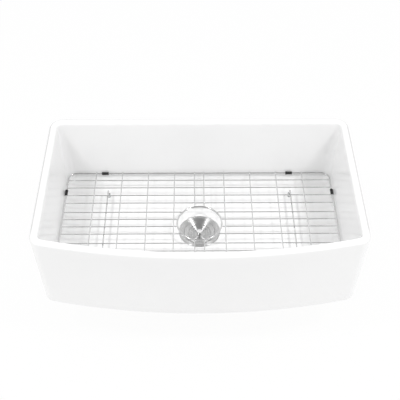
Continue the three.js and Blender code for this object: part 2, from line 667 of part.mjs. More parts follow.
// Rows lie under the columns and end against the rail and the ring
function rowEnd(y) {
  const insideRail = inset(RAIL_PLAN, RAIL_RADIUS + GAP)
  return Math.min(crossingX(insideRail, y - WIRE_RADIUS), crossingX(insideRail, y + WIRE_RADIUS))
}

function placeRow(name, y) {
  const reach = rowEnd(y)
  placeRod(name, new THREE.Vector3(-reach, y, ROW_Z), new THREE.Vector3(reach, y, ROW_Z), WIRE_RADIUS)
}

const firstBackRow = DRAIN_Y + RING_RADIUS + BACK_ROW_CLEAR_OF_RING
for (let i = 0; i < BACK_ROWS; i++) {
  placeRow(`grid_row_back_${i + 1}`, THREE.MathUtils.lerp(firstBackRow, RAIL_PLAN.backY, i / BACK_ROWS))
}
const firstFrontRow = DRAIN_Y - RING_RADIUS - FRONT_ROW_CLEAR_OF_RING
for (let i = 0; i < FRONT_ROWS; i++) {
  placeRow(`grid_row_front_${i + 1}`, THREE.MathUtils.lerp(firstFrontRow, RAIL_PLAN.frontY, i / FRONT_ROWS))
}
for (let i = 0; i < RING_ROWS; i++) {
  const offset = RING_ROW_PITCH * ((RING_ROWS - 1) / 2 - i)
  const y = DRAIN_Y + offset
  const nearest = Math.max(0, Math.abs(offset) - WIRE_RADIUS)
  const ringSide = Math.sqrt((RING_RADIUS + RING_WIRE_RADIUS) ** 2 - nearest ** 2) + GAP
  for (const [side, sign] of [['left', -1], ['right', 1]]) {
    const outer = new THREE.Vector3(sign * rowEnd(y), y, ROW_Z)
    const inner = new THREE.Vector3(sign * ringSide, y, ROW_Z)
    placeRod(`grid_row_${side}_${i + 1}`, outer, inner, WIRE_RADIUS)
  }
}

// Leg wires under the rows, bent down at both ends into soft feet
const LEG_X = (columnX(COLUMNS_PER_SIDE - 2) + columnX(COLUMNS_PER_SIDE - 1)) / 2
const legBackY = RAIL_PLAN.backY - LEG_FROM_RAIL
const legFrontY = RAIL_PLAN.frontY + LEG_FROM_RAIL
const soleOf = (y) => floorHeight(LEG_X, y) + GAP
for (const [side, sign] of [['left', -1], ['right', 1]]) {
  const x = sign * LEG_X
  const legEnd = (y) => [y, soleOf(y) + FOOT_SOLE + GAP]
  const bendZ = LEG_Z - LEG_BEND
  const path = [
    legEnd(legBackY),
    ...arc(legBackY - LEG_BEND, bendZ, LEG_BEND, 0, QUARTER, ROUND_SEGMENTS),
    ...arc(legFrontY + LEG_BEND, bendZ, LEG_BEND, QUARTER, 2 * QUARTER, ROUND_SEGMENTS),
    legEnd(legFrontY),
  ].map(([y, z]) => new THREE.Vector3(x, y, z))
  const legWire = wire(path, new THREE.Vector3(1, 0, 0), LEG_WIRE_RADIUS, WIRE_SIDES)
  place(grid, `grid_leg_${side}`, legWire, wireSteel())
  for (const [end, y] of [['back', legBackY], ['front', legFrontY]]) {
    const socket = LEG_WIRE_RADIUS + GAP
    const foot = turned([
      [0, 0],
      [FOOT_RADIUS - 1, 0],
      [FOOT_RADIUS, 1],
      [FOOT_RADIUS, FOOT_HEIGHT - 1],
      [FOOT_RADIUS - 1, FOOT_HEIGHT],
      [socket, FOOT_HEIGHT],
      [socket, FOOT_SOLE],
      [0, FOOT_SOLE],
    ])
    place(grid, `grid_foot_${side}_${end}`, foot, clearVinyl()).position.set(x, y, soleOf(y))
  }
}

// Rubber bumpers threaded on the rail
function placeBumper(name, x, y, along) {
  const sleeve = washer(RAIL_RADIUS + GAP, BUMPER_RADIUS, -BUMPER_LENGTH / 2, BUMPER_LENGTH / 2)
  const bumper = place(grid, name, sleeve, blackRubber())
  bumper.position.set(x, y, GRID_Z)
  bumper.quaternion.setFromUnitVectors(UP, along)
}

const backBumperX = RAIL_PLAN.halfWidth - BACK_BUMPER_FROM_SIDE
const frontBumperX = RAIL_PLAN.halfWidth - FRONT_BUMPER_FROM_SIDE
const bowTurn = Math.asin(frontBumperX / RAIL_PLAN.bowRadius)
const secondBackRow = firstBackRow + (RAIL_PLAN.backY - firstBackRow) / BACK_ROWS
const sideBumperY = secondBackRow + WIRE_RADIUS + SIDE_BUMPER_TO_ROW + BUMPER_LENGTH / 2
for (const [side, sign] of [['left', -1], ['right', 1]]) {
  const backX = sign * backBumperX + BACK_BUMPER_DRIFT
  const frontY = bowY(RAIL_PLAN, frontBumperX)
  const alongBack = new THREE.Vector3(1, 0, 0)
  const alongBow = new THREE.Vector3(Math.cos(bowTurn), sign * Math.sin(bowTurn), 0)
  const alongSide = new THREE.Vector3(0, 1, 0)
  placeBumper(`grid_bumper_back_${side}`, backX, RAIL_PLAN.backY, alongBack)
  placeBumper(`grid_bumper_front_${side}`, sign * frontBumperX, frontY, alongBow)
  placeBumper(`grid_bumper_${side}`, sign * RAIL_PLAN.halfWidth, sideBumperY, alongSide)
}

export default sink
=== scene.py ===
# %% [markdown]
# # A farmhouse sink, finished around its working model
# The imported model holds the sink's real sizes, its pieces and its two lifting joints. This lesson dresses it.
# Each faceted piece gets a finer mesh on the same measures, and each surface gets the finish of the real one.
# Places and overall sizes are read from the model, so the new pieces land where the old ones are.

import json
import math

import bmesh
import bpy
from mathutils import Matrix, Vector

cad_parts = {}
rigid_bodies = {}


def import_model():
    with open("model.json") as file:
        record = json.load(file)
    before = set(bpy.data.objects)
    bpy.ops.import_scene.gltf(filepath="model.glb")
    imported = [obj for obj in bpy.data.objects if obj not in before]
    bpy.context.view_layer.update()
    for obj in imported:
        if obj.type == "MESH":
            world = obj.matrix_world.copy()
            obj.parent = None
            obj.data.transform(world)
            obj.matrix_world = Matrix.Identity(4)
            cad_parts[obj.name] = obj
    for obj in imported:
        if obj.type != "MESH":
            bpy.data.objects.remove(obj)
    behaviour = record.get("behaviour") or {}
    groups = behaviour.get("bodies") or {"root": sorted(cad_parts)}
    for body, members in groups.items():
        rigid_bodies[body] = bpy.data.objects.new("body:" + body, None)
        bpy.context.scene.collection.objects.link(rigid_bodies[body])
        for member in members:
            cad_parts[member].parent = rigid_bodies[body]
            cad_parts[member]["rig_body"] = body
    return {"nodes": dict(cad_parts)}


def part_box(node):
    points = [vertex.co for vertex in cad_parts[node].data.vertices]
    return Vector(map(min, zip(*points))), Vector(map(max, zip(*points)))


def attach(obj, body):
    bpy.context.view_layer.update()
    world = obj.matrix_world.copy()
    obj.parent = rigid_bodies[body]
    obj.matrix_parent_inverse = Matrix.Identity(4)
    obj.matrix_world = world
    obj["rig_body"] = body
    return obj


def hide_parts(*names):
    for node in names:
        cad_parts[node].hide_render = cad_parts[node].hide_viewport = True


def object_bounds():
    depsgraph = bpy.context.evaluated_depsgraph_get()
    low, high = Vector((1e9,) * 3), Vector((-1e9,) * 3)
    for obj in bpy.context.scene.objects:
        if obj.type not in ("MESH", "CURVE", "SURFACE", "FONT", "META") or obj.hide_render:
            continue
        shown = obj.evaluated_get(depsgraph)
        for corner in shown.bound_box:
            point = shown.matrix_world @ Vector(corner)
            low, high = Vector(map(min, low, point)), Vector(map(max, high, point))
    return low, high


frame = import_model()
cad_low, cad_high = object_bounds()
print("overall size, mm", [round(1000 * side) for side in cad_high - cad_low])

# %% [markdown]
# ## Units and two small tools
# Blender works in metres, and a potter or a wire bender works in millimetres, so sizes below are written in
# millimetres and multiplied by MM. Paint charts and photographs give colours in sRGB, which is not how light
# adds up, so one function turns a hex colour into the linear values that Blender's shaders expect.

# %% Millimetres, and the measures of a piece
MM = 0.001


def middle(node):
    """The middle of a piece's box in the working model."""
    low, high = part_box(node)
    return (low + high) / 2


def half_size(node):
    """Half the size of a piece's box along each axis: for a round piece, its radius."""
    low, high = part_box(node)
    return (high - low) / 2


print("drain axis, mm", [round(1000 * c, 1) for c in middle("strainer_body")])


# %% Colours: sRGB hex to linear
def colour(hex_code):
    channels = [int(hex_code[i:i + 2], 16) / 255 for i in (1, 3, 5)]
    linear = [c / 12.92 if c <= 0.04045 else ((c + 0.055) / 1.055) ** 2.4 for c in channels]
    return (*linear, 1.0)


print("mid grey in linear light", [round(c, 2) for c in colour("#808080")])


# %% [markdown]
# ## One tool for every shader node
# A material is a small graph. Rather than a helper for each kind of node, one function adds any node, sets
# its options, and fills its sockets: a socket given another node's output is linked, and any other value is
# typed in. Numbers that are the same all over a surface are typed straight into the shader, so they survive
# an export. Most finishes here are made of three patterns: a blend of two tones, soft noise, and a bump.

# %% Add any node
def add(tree, kind, sockets=None, **options):
    """Adds a shader node with its options set and its sockets typed in or linked."""
    node =tree.nodes.new("ShaderNode" + kind)
    for option, value in options.items():
        setattr(node, option, value)
    for socket, value in (sockets or {}).items():
        if isinstance(value, bpy.types.NodeSocket):
            tree.links.new(value, node.inputs[socket])
        else:
            node.inputs[socket].default_value = value
    return node


print("kinds of shader node", sum(name.startswith("ShaderNode") for name in dir(bpy.types)))


# %% Tones, noise and bumps
def blend(tree, share, first, second):
    """A tone that goes from the first to the second as the share goes from 0 to 1: hex codes or sockets."""
    tones = [colour(tone) if isinstance(tone, str) else tone for tone in (first, second)]
    return add(tree, "Mix", {0: share, 6: tones[0], 7: tones[1]}, data_type="RGBA").outputs[2]


def noise(tree, place, size, detail=2.0):
    """Soft noise whose swells are the given size across, in metres."""
    return add(tree, "TexNoise", {"Vector": place, "Scale": 1 / size, "Detail": detail}).outputs["Fac"]


def spread(tree, value, low, high):
    """Stretches a value that runs from 0 to 1, so that it runs from low to high."""
    return add(tree, "MapRange", {"Value": value, "To Min": low, "To Max": high}).outputs[0]


def relief(tree, height, depth, under=None):
    """A bump as deep as given, in metres, laid over another bump if there is one."""
    sockets = {"Height": height, "Strength": 1.0, "Distance": depth}
    if under:
        sockets["Normal"] = under
    return add(tree, "Bump", sockets).outputs[0]


print("noise scale for swells 10 mm across", round(1 / (10 * MM)))


# %% Start a material
def empty_material(name):
    material = bpy.data.materials.new(name)
    material.use_nodes = True
    material.node_tree.nodes.clear()
    return material, material.node_tree


def start_material(name, shader_sockets):
    """A material with one shader, and the place on the object that its patterns are drawn from."""
    material, tree = empty_material(name)
    shader = add(tree, "BsdfPrincipled", shader_sockets)
    add(tree, "OutputMaterial", {"Surface": shader.outputs["BSDF"]})
    place = add(tree, "TexCoord").outputs["Object"]
    return material, tree, shader, place


def feed(tree, shader, sockets):
    """Links the patterns to the shader's sockets."""
    for socket, output in sockets.items():
        tree.links.new(output, shader.inputs[socket])


print("materials so far", len(bpy.data.materials))


# %% [markdown]
# ## Into the scene
# In Blender a mesh, a lamp or a camera shows only once an object holds it and the scene's collection holds
# the object. Every piece below takes these two steps, so one small function takes them.

# %% Put a thing in the scene
def into_scene(name, data):
    thing = bpy.data.objects.new(name, data)
    bpy.context.scene.collection.objects.link(thing)
    return thing


# %% [markdown]
# ## The camera
# The photograph was taken from above and in front, with a long lens, so the sink's sides hardly converge.
# The camera's place, tilt and lens were worked out by matching the rim, the apron's foot, the drain and the
# wires of the grid. A degree of yaw and roll is kept, because a hand-placed camera is never quite square.

# %% Place the camera
CAMERA_PLACE = Vector((-12.8, -1610.1, 1695.5)) * MM
CAMERA_PITCH = math.radians(46.54)  # below the horizon
CAMERA_YAW = math.radians(-0.55)
CAMERA_ROLL = math.radians(0.19)
PHOTO_WIDTH = 400
FOCAL_PIXELS = 779.7  # the focal length, measured in the photograph's pixels

camera = into_scene("camera", bpy.data.cameras.new("camera"))
camera.data.lens = camera.data.sensor_width * FOCAL_PIXELS / PHOTO_WIDTH
turn = Matrix.Rotation(CAMERA_YAW, 4, "Z") @ Matrix.Rotation(math.pi / 2 - CAMERA_PITCH, 4, "X")
camera.matrix_world = Matrix.Translation(CAMERA_PLACE) @ turn @ Matrix.Rotation(CAMERA_ROLL, 4, "Z")
bpy.context.scene.camera = camera
bpy.context.scene.view_settings.view_transform = "Standard"
print("lens, mm", round(camera.data.lens, 1))

# %% [markdown]
# ## The studio
# A white sink on white is lit by the room as much as by any lamp. The world gives an even white light, and
# two softboxes hang above, left and right, which lay the soft double shadows on the basin's floor. To the
# camera, to mirrors and through clear plastic the world shows plain white. As a lamp it is weaker, so that
# with the softboxes it lights the sink at a plain level, where a colour looks as it is written.

# %% The world, and who sees it as plain white
def seen_plainly(tree):
    """1 for the rays that see a surface rather than light it: from the camera, a mirror or clear plastic."""
    ray = add(tree, "LightPath").outputs
    direct = add(tree, "Math", {0: ray["Is Camera Ray"], 1: ray["Is Glossy Ray"]}, operation="MAXIMUM")
    either = add(tree, "Math", {0: direct.outputs[0], 1: ray["Is Transmission Ray"]}, operation="MAXIMUM")
    return either.outputs[0]


WORLD_LIGHT = 0.75

world = bpy.data.worlds.new("studio")
bpy.context.scene.world = world
world.use_nodes = True
sky = world.node_tree
sky.nodes.clear()
lamp = add(sky, "Background", {"Color": (1, 1, 1, 1), "Strength": WORLD_LIGHT})
backdrop = add(sky, "Background", {"Color": (1, 1, 1, 1), "Strength": 1.0})
mixed = add(sky, "MixShader", {0: seen_plainly(sky), 1: lamp.outputs[0], 2: backdrop.outputs[0]})
add(sky, "OutputWorld", {"Surface": mixed.outputs[0]})
print("world light", WORLD_LIGHT)

# %% The softboxes
AIM = Vector((0, -0.15, 0.1))
SOFTBOX_SIDE = 0.34
LEFT_PLACE = Vector((-1.25, -0.75, 2.2))
RIGHT_PLACE = Vector((1.3, -0.75, 2.15))
LEFT_BRIGHTNESS = 43.0  # times plain white
RIGHT_BRIGHTNESS = 48.0


def softbox(name, place, brightness):
    """A square lamp aimed at the basin. Its brightness is that of its face, in times plain white."""
    light = bpy.data.lights.new(name, "AREA")
    light.size = SOFTBOX_SIDE
    light.energy = brightness * math.pi * SOFTBOX_SIDE ** 2
    turn = (AIM - place).to_track_quat("-Z", "Y").to_matrix().to_4x4()
    into_scene(name, light).matrix_world = Matrix.Translation(place) @ turn


softbox("softbox_left", LEFT_PLACE, LEFT_BRIGHTNESS)
softbox("softbox_right", RIGHT_PLACE, RIGHT_BRIGHTNESS)
print("softboxes, times plain white", LEFT_BRIGHTNESS, RIGHT_BRIGHTNESS)

# %% [markdown]
# ## The floor and the grey ceiling
# The floor is matt white paper just under the lowest pipe. Most of what the camera sees of it is plain white,
# and the rest is lit like any surface, so that the object's shadow stays on it, soft and pale.
#
# Steel looks like steel only where it mirrors something darker than the white around it. In a studio that is
# the ceiling over the camera, dark because no lamp lights it. Here a matt grey sheet stands in for that shade,
# as a painted reflection: reflections alone can see it, it throws no shadow and takes no light from the sink.
# Wires that run across the basin show it as a dark line, and wires that run front to back mirror the white
# backdrop.

# %% A level sheet for the studio
def level_sheet(name, middle_y, z, half_width, half_depth, material):
    """A level rectangle that belongs to the studio, not to the sink."""
    signs = ((-1, -1), (1, -1), (1, 1), (-1, 1))
    mesh = bpy.data.meshes.new(name)
    mesh.from_pydata([(a * half_width, middle_y + b * half_depth, z) for a, b in signs], [], [(0, 1, 2, 3)])
    mesh.materials.append(material)
    sheet_object = into_scene(name, mesh)
    return sheet_object


print("studio sheets ready")

# %% Roll out the paper
FLOOR_HALF = 8.0
FLOOR_CLEAR = 0.7 * MM
PLAIN_WHITE_SHARE = 0.96
PAPER_FIBRE = 2 * MM

paper, tree = empty_material("matt_white_background_paper")
fibre = noise(tree, add(tree, "TexCoord").outputs["Object"], PAPER_FIBRE)
matt = add(tree, "BsdfDiffuse", {"Color": blend(tree, fibre, "#F4F4F4", "#F8F8F8")})
plain = add(tree, "Emission", {"Color": (1, 1, 1, 1), "Strength": 1.0})
share = add(tree, "Math", {0: seen_plainly(tree), 1: PLAIN_WHITE_SHARE}, operation="MULTIPLY")
paper_mix = add(tree, "MixShader", {0: share.outputs[0], 1: matt.outputs[0], 2: plain.outputs[0]})
add(tree, "OutputMaterial", {"Surface": paper_mix.outputs[0]})
floor_z = cad_low.z - FLOOR_CLEAR
level_sheet("studio_floor", 0, floor_z, FLOOR_HALF, FLOOR_HALF, paper)
print("floor at, mm", round(1000 * floor_z, 1))

# %% Hang the grey ceiling
CEILING_HEIGHT = 3.0
CEILING_FRONT = -6.5
CEILING_BACK = 1.3
CEILING_HALF_WIDTH = 2.6
CEILING_MOTTLE = 3 * MM

# Painted shade: this grey stands in for the unlit ceiling over the camera, and only reflections see it.
ceiling_shade, tree = empty_material("painted_ceiling_shade")
ceiling_mottle = noise(tree, add(tree, "TexCoord").outputs["Object"], CEILING_MOTTLE)
ceiling_shade_bsdf = add(tree, "BsdfDiffuse", {"Color": blend(tree, ceiling_mottle, "#868686", "#909090")})
add(tree, "OutputMaterial", {"Surface": ceiling_shade_bsdf.outputs[0]})
ceiling_middle = (CEILING_FRONT + CEILING_BACK) / 2
ceiling_half_depth = (CEILING_BACK - CEILING_FRONT) / 2
ceiling = level_sheet(
    "dark_ceiling", ceiling_middle, CEILING_HEIGHT, CEILING_HALF_WIDTH, ceiling_half_depth, ceiling_shade)
ceiling.visible_camera = False
ceiling.visible_diffuse = False
ceiling.visible_shadow = False
ceiling.visible_transmission = False
print("ceiling reaches back to, mm", round(1000 * CEILING_BACK))

# %% [markdown]
# ## Finish: white glaze on fireclay
# Fireclay is a coarse clay pressed in a mould, sprayed with white slip and glaze, and fired once at about
# 1200 °C. The glaze melts into a glass skin: the eye gets a sharp reflection that is very slightly wavy,
# with an orange-peel of about 9 mm and slow swells of a hand's width, over a white that is never perfectly
# even. A faint grey line of painted shade runs along the rim's outer rounding at the back and sides, where
# the rounding turns away from the light. It fades out towards the front, so the apron's edge stays white.
# How much shade is painted gets stored on the bowl's own points, and the material reads it from there.

# %% Glazed fireclay
GLAZE_PEEL = 9 * MM
GLAZE_SWELL = 110 * MM
PAINTED_RIM_SHADE = "painted_rim_shade"  # a value at each point of the bowl: 1 where the painted shade is deepest

glaze, tree, shader, place = start_material("glazed_fireclay", {"IOR": 1.52})
peel = noise(tree, place, GLAZE_PEEL, detail=1.0)
swell = noise(tree, place, GLAZE_SWELL)
painted_shade = add(tree, "Attribute", attribute_name=PAINTED_RIM_SHADE).outputs["Fac"]
skin = blend(tree, swell, "#FCFCFC", "#F9F9F9")
# The base colour carries painted shade: grey on the rim's outer rounding, as much as the stored value says.
feed(tree, shader, {
    "Base Color": blend(tree, painted_shade, skin, "#D4D4D4"),
    "Roughness": spread(tree, peel, 0.05, 0.10),
    "Normal": relief(tree, peel, 0.01 * MM, under=relief(tree, swell, 0.25 * MM))})
print("glaze peel, mm", 1000 * GLAZE_PEEL)

# %% [markdown]
# ## Finish: bare fireclay
# The underside stands on the kiln's shelf, so it carries no glaze, and it is ground flat after firing. The
# eye gets buff clay with darker grains of grog up to 2 mm, and the fine scratches of the grinding wheel.

# %% Bare, ground fireclay
GROG = 2 * MM
GRINDING = 1.2 * MM  # a real scratch is finer: this is as coarse as it needs to be to show
GRINDING_LENGTH = 40 * MM
CLAY_PATCH = 60 * MM
SPECK_CORE = 0.12  # of the grains' spacing: a grain is darkest this far out
SPECK_EDGE = 0.22  # and by this far the buff clay has taken over
SPECK_SHARE = 0.6

bare_clay, tree, shader, place = start_material("bare_ground_fireclay", {"IOR": 1.5, "Roughness": 0.85})
grog = add(tree, "TexVoronoi", {"Vector": place, "Scale": 1 / GROG, "Randomness": 1.0})
speck = add(tree, "MapRange", {
    "Value": grog.outputs["Distance"], "From Min": SPECK_CORE, "From Max": SPECK_EDGE,
    "To Min": SPECK_SHARE, "To Max": 0.0})
ground = blend(tree, noise(tree, place, CLAY_PATCH), "#D9D0C0", "#CBBFAC")
clay = blend(tree, speck.outputs[0], ground, "#8E7D68")
along = add(tree, "Mapping", {"Vector": place, "Scale": (GRINDING / GRINDING_LENGTH, 1.0, 1.0)})
scratch = noise(tree, along.outputs[0], GRINDING)
feed(tree, shader, {"Base Color": clay, "Normal": relief(tree, scratch, 0.09 * MM)})
print("grog, mm", 1000 * GROG)

# %% [markdown]
# ## Finish: drawn and electropolished wire
# Stainless wire is pulled through dies, which leaves hair-thin lines along it, and an acid bath then polishes
# the welded grid all over. The eye gets a soft mirror with faint lines along each wire, and a slightly
# duller, mottled grey than a hand-polished bar. The lines need to know which way the wire runs, so each wire
# carries a UV map: U goes round it and V along it, both in metres.

# %% Electropolished stainless wire
WIRE_UV = "along_wire"
DRAW_LINE = 0.4 * MM  # real lines are finer: these are as coarse as they need to be to show
DRAW_LINE_LENGTH = 30 * MM
MOTTLE = 5 * MM

wire_steel, tree, shader, place = start_material("drawn_electropolished_stainless", {"Metallic": 1.0})
run = add(tree, "UVMap", uv_map=WIRE_UV).outputs[0]
stretch = add(tree, "Mapping", {"Vector": run, "Scale": (1.0, DRAW_LINE / DRAW_LINE_LENGTH, 1.0)})
lines = noise(tree, stretch.outputs[0], DRAW_LINE)
feed(tree, shader, {
    "Base Color": blend(tree, noise(tree, place, MOTTLE), "#E2E2E2", "#D4D4D4"),
    "Roughness": spread(tree, lines, 0.14, 0.26),
    "Normal": relief(tree, lines, 0.01 * MM)})
print("draw lines, mm", 1000 * DRAW_LINE)

# %% [markdown]
# ## Finish: spun and brushed steel
# The strainer and its basket are spun on a lathe and brushed while they turn. Every scratch is a circle about
# the drain's axis, so a highlight stretches across the scratches into the two bright rays that such a dish
# shows. The pattern is a one-dimensional noise read at the distance from the axis plus the height, which
# draws circles on a flat flange and on an upright wall alike. Anisotropic shading then pulls the light into
# rays. The same recipe without the rays gives three more metals: the buffed knob and the polished tube, which
# the eye reads as clear mirrors, and turned brass, which is warmer and softer.

# %% Spun metals: one recipe, several metals
DRAIN_AXIS = middle("strainer_body")
BRUSH_LINE = 0.7 * MM  # drawn coarser than a real brush line, so that it shows
BRUSH_PATCH = 12 * MM
ACROSS_THE_SCRATCH = 0.25  # of a full turn: the tangent runs along the scratches, and the light across them
SMOOTHEST = 0.75  # times the metal's roughness, between two scratches
ROUGHEST = 1.3  # times the metal's roughness, in a scratch


def spun_metal(name, light_tone, dark_tone, roughness, anisotropy, depth):
    """A metal worn in circles about the drain's axis. The depth is that of its lines, in metres."""
    material, tree, shader, place = start_material(name, {
        "Metallic": 1.0, "Anisotropic": anisotropy, "Anisotropic Rotation": ACROSS_THE_SCRATCH})
    centred = add(tree, "VectorMath", {0: place, 1: (DRAIN_AXIS.x, DRAIN_AXIS.y, 0)}, operation="SUBTRACT")
    parts = add(tree, "SeparateXYZ", {0: centred.outputs[0]}).outputs
    level = add(tree, "CombineXYZ", {"X": parts["X"], "Y": parts["Y"]})
    radius = add(tree, "VectorMath", {0: level.outputs[0]}, operation="LENGTH")
    across = add(tree, "Math", {0: radius.outputs["Value"], 1: parts["Z"]}, operation="ADD")
    lines = add(tree, "TexNoise", {"W": across.outputs[0], "Scale": 1 / BRUSH_LINE, "Detail": 3.0},
                noise_dimensions="1D").outputs["Fac"]
    worn = add(tree, "Math", {0: lines, 1: noise(tree, place, BRUSH_PATCH)}, operation="MULTIPLY")
    around = add(tree, "Tangent", direction_type="RADIAL", axis="Z")
    feed(tree, shader, {
        "Base Color": blend(tree, worn.outputs[0], light_tone, dark_tone),
        "Roughness": spread(tree, lines, SMOOTHEST * roughness, ROUGHEST * roughness),
        "Normal": relief(tree, lines, depth),
        "Tangent": around.outputs[0]})
    return material


spun_steel = spun_metal("spun_brushed_stainless", "#F2F2F2", "#D6D6D6", 0.44, 1.0, 0.01 * MM)
turned_brass = spun_metal("turned_brass", "#D9BE86", "#B99A5E", 0.30, 0.0, 0.01 * MM)
drawn_tube = spun_metal("polished_stainless_tube", "#DEDEDE", "#C6C6C6", 0.16, 0.0, 0.002 * MM)
buffed_steel = spun_metal("buffed_stainless", "#F4F4F4", "#E6E6E6", 0.12, 0.0, 0.002 * MM)
print("brush lines, mm", 1000 * BRUSH_LINE)

# %% [markdown]
# ## Finish: nickel-plated castings
# The two big nuts are zinc, cast in steel dies and barrel-plated with nickel. The eye gets a grey metal, soft
# as orange skin at 1.5 mm, brighter where tumbling has rubbed it and duller in the hollows.

# %% Nickel-plated die casting
CAST_SKIN = 1.5 * MM
TUMBLED_PATCH = 15 * MM

cast_nickel, tree, shader, place = start_material("nickel_plated_die_casting", {"Metallic": 1.0})
wear = noise(tree, place, TUMBLED_PATCH)
feed(tree, shader, {
    "Base Color": blend(tree, wear, "#C2C2C0", "#A2A3A5"),
    "Roughness": spread(tree, wear, 0.3, 0.55),
    "Normal": relief(tree, noise(tree, place, CAST_SKIN, detail=3.0), 0.06 * MM)})
print("cast skin, mm", 1000 * CAST_SKIN)

# %% [markdown]
# ## Finish: rubber, vinyl, nylon and fibre
# Moulded rubber is nearly black, matt, and a touch paler where bloom has risen. The feet are soft clear
# vinyl, which reads as pale grey with a bright edge. The pipe's washer is moulded nylon, milky and satin, and
# the one under the sink is pressed fibre, brown and dry. All four are a base colour that a noise varies, so a
# small recipe serves them, with the scale of the grain in millimetres and the few sockets that differ. The
# grains are 0.5 to 1.5 mm, coarser than most real ones, so that they show.

# %% Moulded and pressed materials
BLOOM = 12  # the clouds of tone are this many times as large as the grain


def moulded(name, light_tone, dark_tone, grain_size, depth, shader_sockets):
    """A material that varies by its bloom and its grain alone. The grain's size and depth are in metres."""
    material, tree, shader, place = start_material(name, shader_sockets)
    bloom = noise(tree, place, BLOOM * grain_size)
    feed(tree, shader, {
        "Base Color": blend(tree, bloom, light_tone, dark_tone),
        "Normal": relief(tree, noise(tree, place, grain_size, detail=3.0), depth)})
    return material


rubber = moulded("moulded_black_rubber", "#2B2B2C", "#161617", 0.6 * MM, 0.02 * MM,
                 {"Roughness": 0.62, "IOR": 1.5})
vinyl = moulded("soft_clear_vinyl", "#F6F8F8", "#EEF1F1", 1.5 * MM, 0.015 * MM,
                {"Roughness": 0.12, "IOR": 1.53, "Transmission Weight": 0.9})
nylon = moulded("moulded_white_nylon", "#ECEAE2", "#DEDBD0", 1.0 * MM, 0.01 * MM,
                {"Roughness": 0.42, "IOR": 1.53, "Subsurface Weight": 0.15, "Subsurface Scale": 2 * MM})
fibre_board = moulded("pressed_washer_fibre", "#8A6A45", "#5E4529", 0.5 * MM, 0.04 * MM,
                      {"Roughness": 0.9, "IOR": 1.5})
print("materials", len(bpy.data.materials))


# %% [markdown]
# ## From points to pieces
# Three shapes make almost everything here. A loft joins rings of points that follow one another, like the
# ribs of a boat. A turned piece spins a profile about the drain's axis. A swept wire carries a round section
# along a line. Each ends as one closed mesh with its faces outwards, smooth except along real edges.

# %% Make a piece from points and faces
SHARP_EDGE = math.radians(35)
EASED_STEPS = 3


def make_piece(name, points, faces, node, material):
    """A closed mesh that stands in for the working model's piece and moves with the same body."""
    mesh = bpy.data.meshes.new(name)
    mesh.from_pydata(points, [], faces)
    body = bmesh.new()
    body.from_mesh(mesh)
    bmesh.ops.recalc_face_normals(body, faces=body.faces)
    body.to_mesh(mesh)
    body.free()
    mesh.shade_smooth()
    mesh.set_sharp_from_angle(angle=SHARP_EDGE)
    mesh.materials.append(material)
    piece = into_scene(name, mesh)
    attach(piece, frame["nodes"][node]["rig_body"])
    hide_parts(node)
    return piece


def ring_faces(first, second, count):
    """Quads between two rings of points, given the number of each ring's first point."""
    return [(first + i, first + (i + 1) % count, second + (i + 1) % count, second + i) for i in range(count)]


def ease_edges(piece, width, crease):
    """Rounds the edges where the surface turns by more than the crease."""
    edge = piece.modifiers.new("eased_edges", "BEVEL")
    edge.width = width
    edge.segments = EASED_STEPS
    edge.limit_method = "ANGLE"
    edge.angle_limit = crease


print("two rings of six points are joined by", len(ring_faces(0, 6, 6)), "faces")


# %% Round the corners of a profile
ROUND_STEPS = 5


def rounded(corners):
    """Points of a closed outline. Each corner is (x, y) or (x, y, radius of its rounding), in metres."""
    points = []
    for i, (x, y, *radius) in enumerate(corners):
        if not radius:
            points.append(Vector((x, y)))
            continue
        here = Vector((x, y))
        back = (Vector(corners[i - 1][:2]) - here).normalized()
        onward = (Vector(corners[(i + 1) % len(corners)][:2]) - here).normalized()
        half_angle = back.angle(onward) / 2
        centre = here + (back + onward).normalized() * radius[0] / math.sin(half_angle)
        start = here + back * radius[0] / math.tan(half_angle) - centre
        end = here + onward * radius[0] / math.tan(half_angle) - centre
        bend = start.angle_signed(end)
        for step in range(ROUND_STEPS + 1):
            points.append(centre + Matrix.Rotation(-bend * step / ROUND_STEPS, 2) @ start)
    return points


print("a rounded square has", len(rounded([(0, 0, 1), (4, 0, 1), (4, 4, 1), (0, 4, 1)])), "points")

# %% Turn a profile about an upright axis
TURNED_SIDES = 96
ON_AXIS = 1e-7


def turned(name, profile, node, material, axis=DRAIN_AXIS, sides=TURNED_SIDES):
    """Spins a closed profile of (radius, height). A corner on the axis becomes a single point."""
    points = []
    rings = []
    for radius, height in profile:
        rings.append((len(points), radius < ON_AXIS))
        if radius < ON_AXIS:
            points.append((axis.x, axis.y, height))
            continue
        for i in range(sides):
            angle = 2 * math.pi * i / sides
            points.append((axis.x + radius * math.cos(angle), axis.y + radius * math.sin(angle), height))
    faces = []
    for (first, first_tip), (second, second_tip) in zip(rings, rings[1:] + rings[:1]):
        if first_tip and second_tip:
            continue
        if first_tip:
            faces += [(first, second + (i + 1) % sides, second + i) for i in range(sides)]
        elif second_tip:
            faces += [(first + i, first + (i + 1) % sides, second) for i in range(sides)]
        else:
            faces += ring_faces(first, second, sides)
    return make_piece(name, points, faces, node, material)


print("sides of a turned piece", TURNED_SIDES)


# %% [markdown]
# ## The plan of the bowl
# Seen from above, the bowl is a rectangle with four round corners whose front side is an arc. The same
# outline, with other numbers, gives the outside, the basin and the grid's rail, so one function draws them
# all. Long straight stretches are divided too: evenly sized faces keep a glossy wall free of false shadows.

# %% Outline of a bowed plan
CORNER_STEPS = 14
BOW_STEPS = 72
SIDE_STEPS = 20
BACK_STEPS = 40
QUARTER = math.pi / 2


def arc(centre_x, centre_y, radius, start, end, steps):
    """Points along an arc, with both of its ends."""
    angles = [start + (end - start) * i / steps for i in range(steps + 1)]
    return [(centre_x + radius * math.cos(a), centre_y + radius * math.sin(a)) for a in angles]


def straight(start, end, steps):
    """Points along a straight stretch, without its ends."""
    return [tuple(Vector(start).lerp(Vector(end), i / steps)) for i in range(1, steps)]


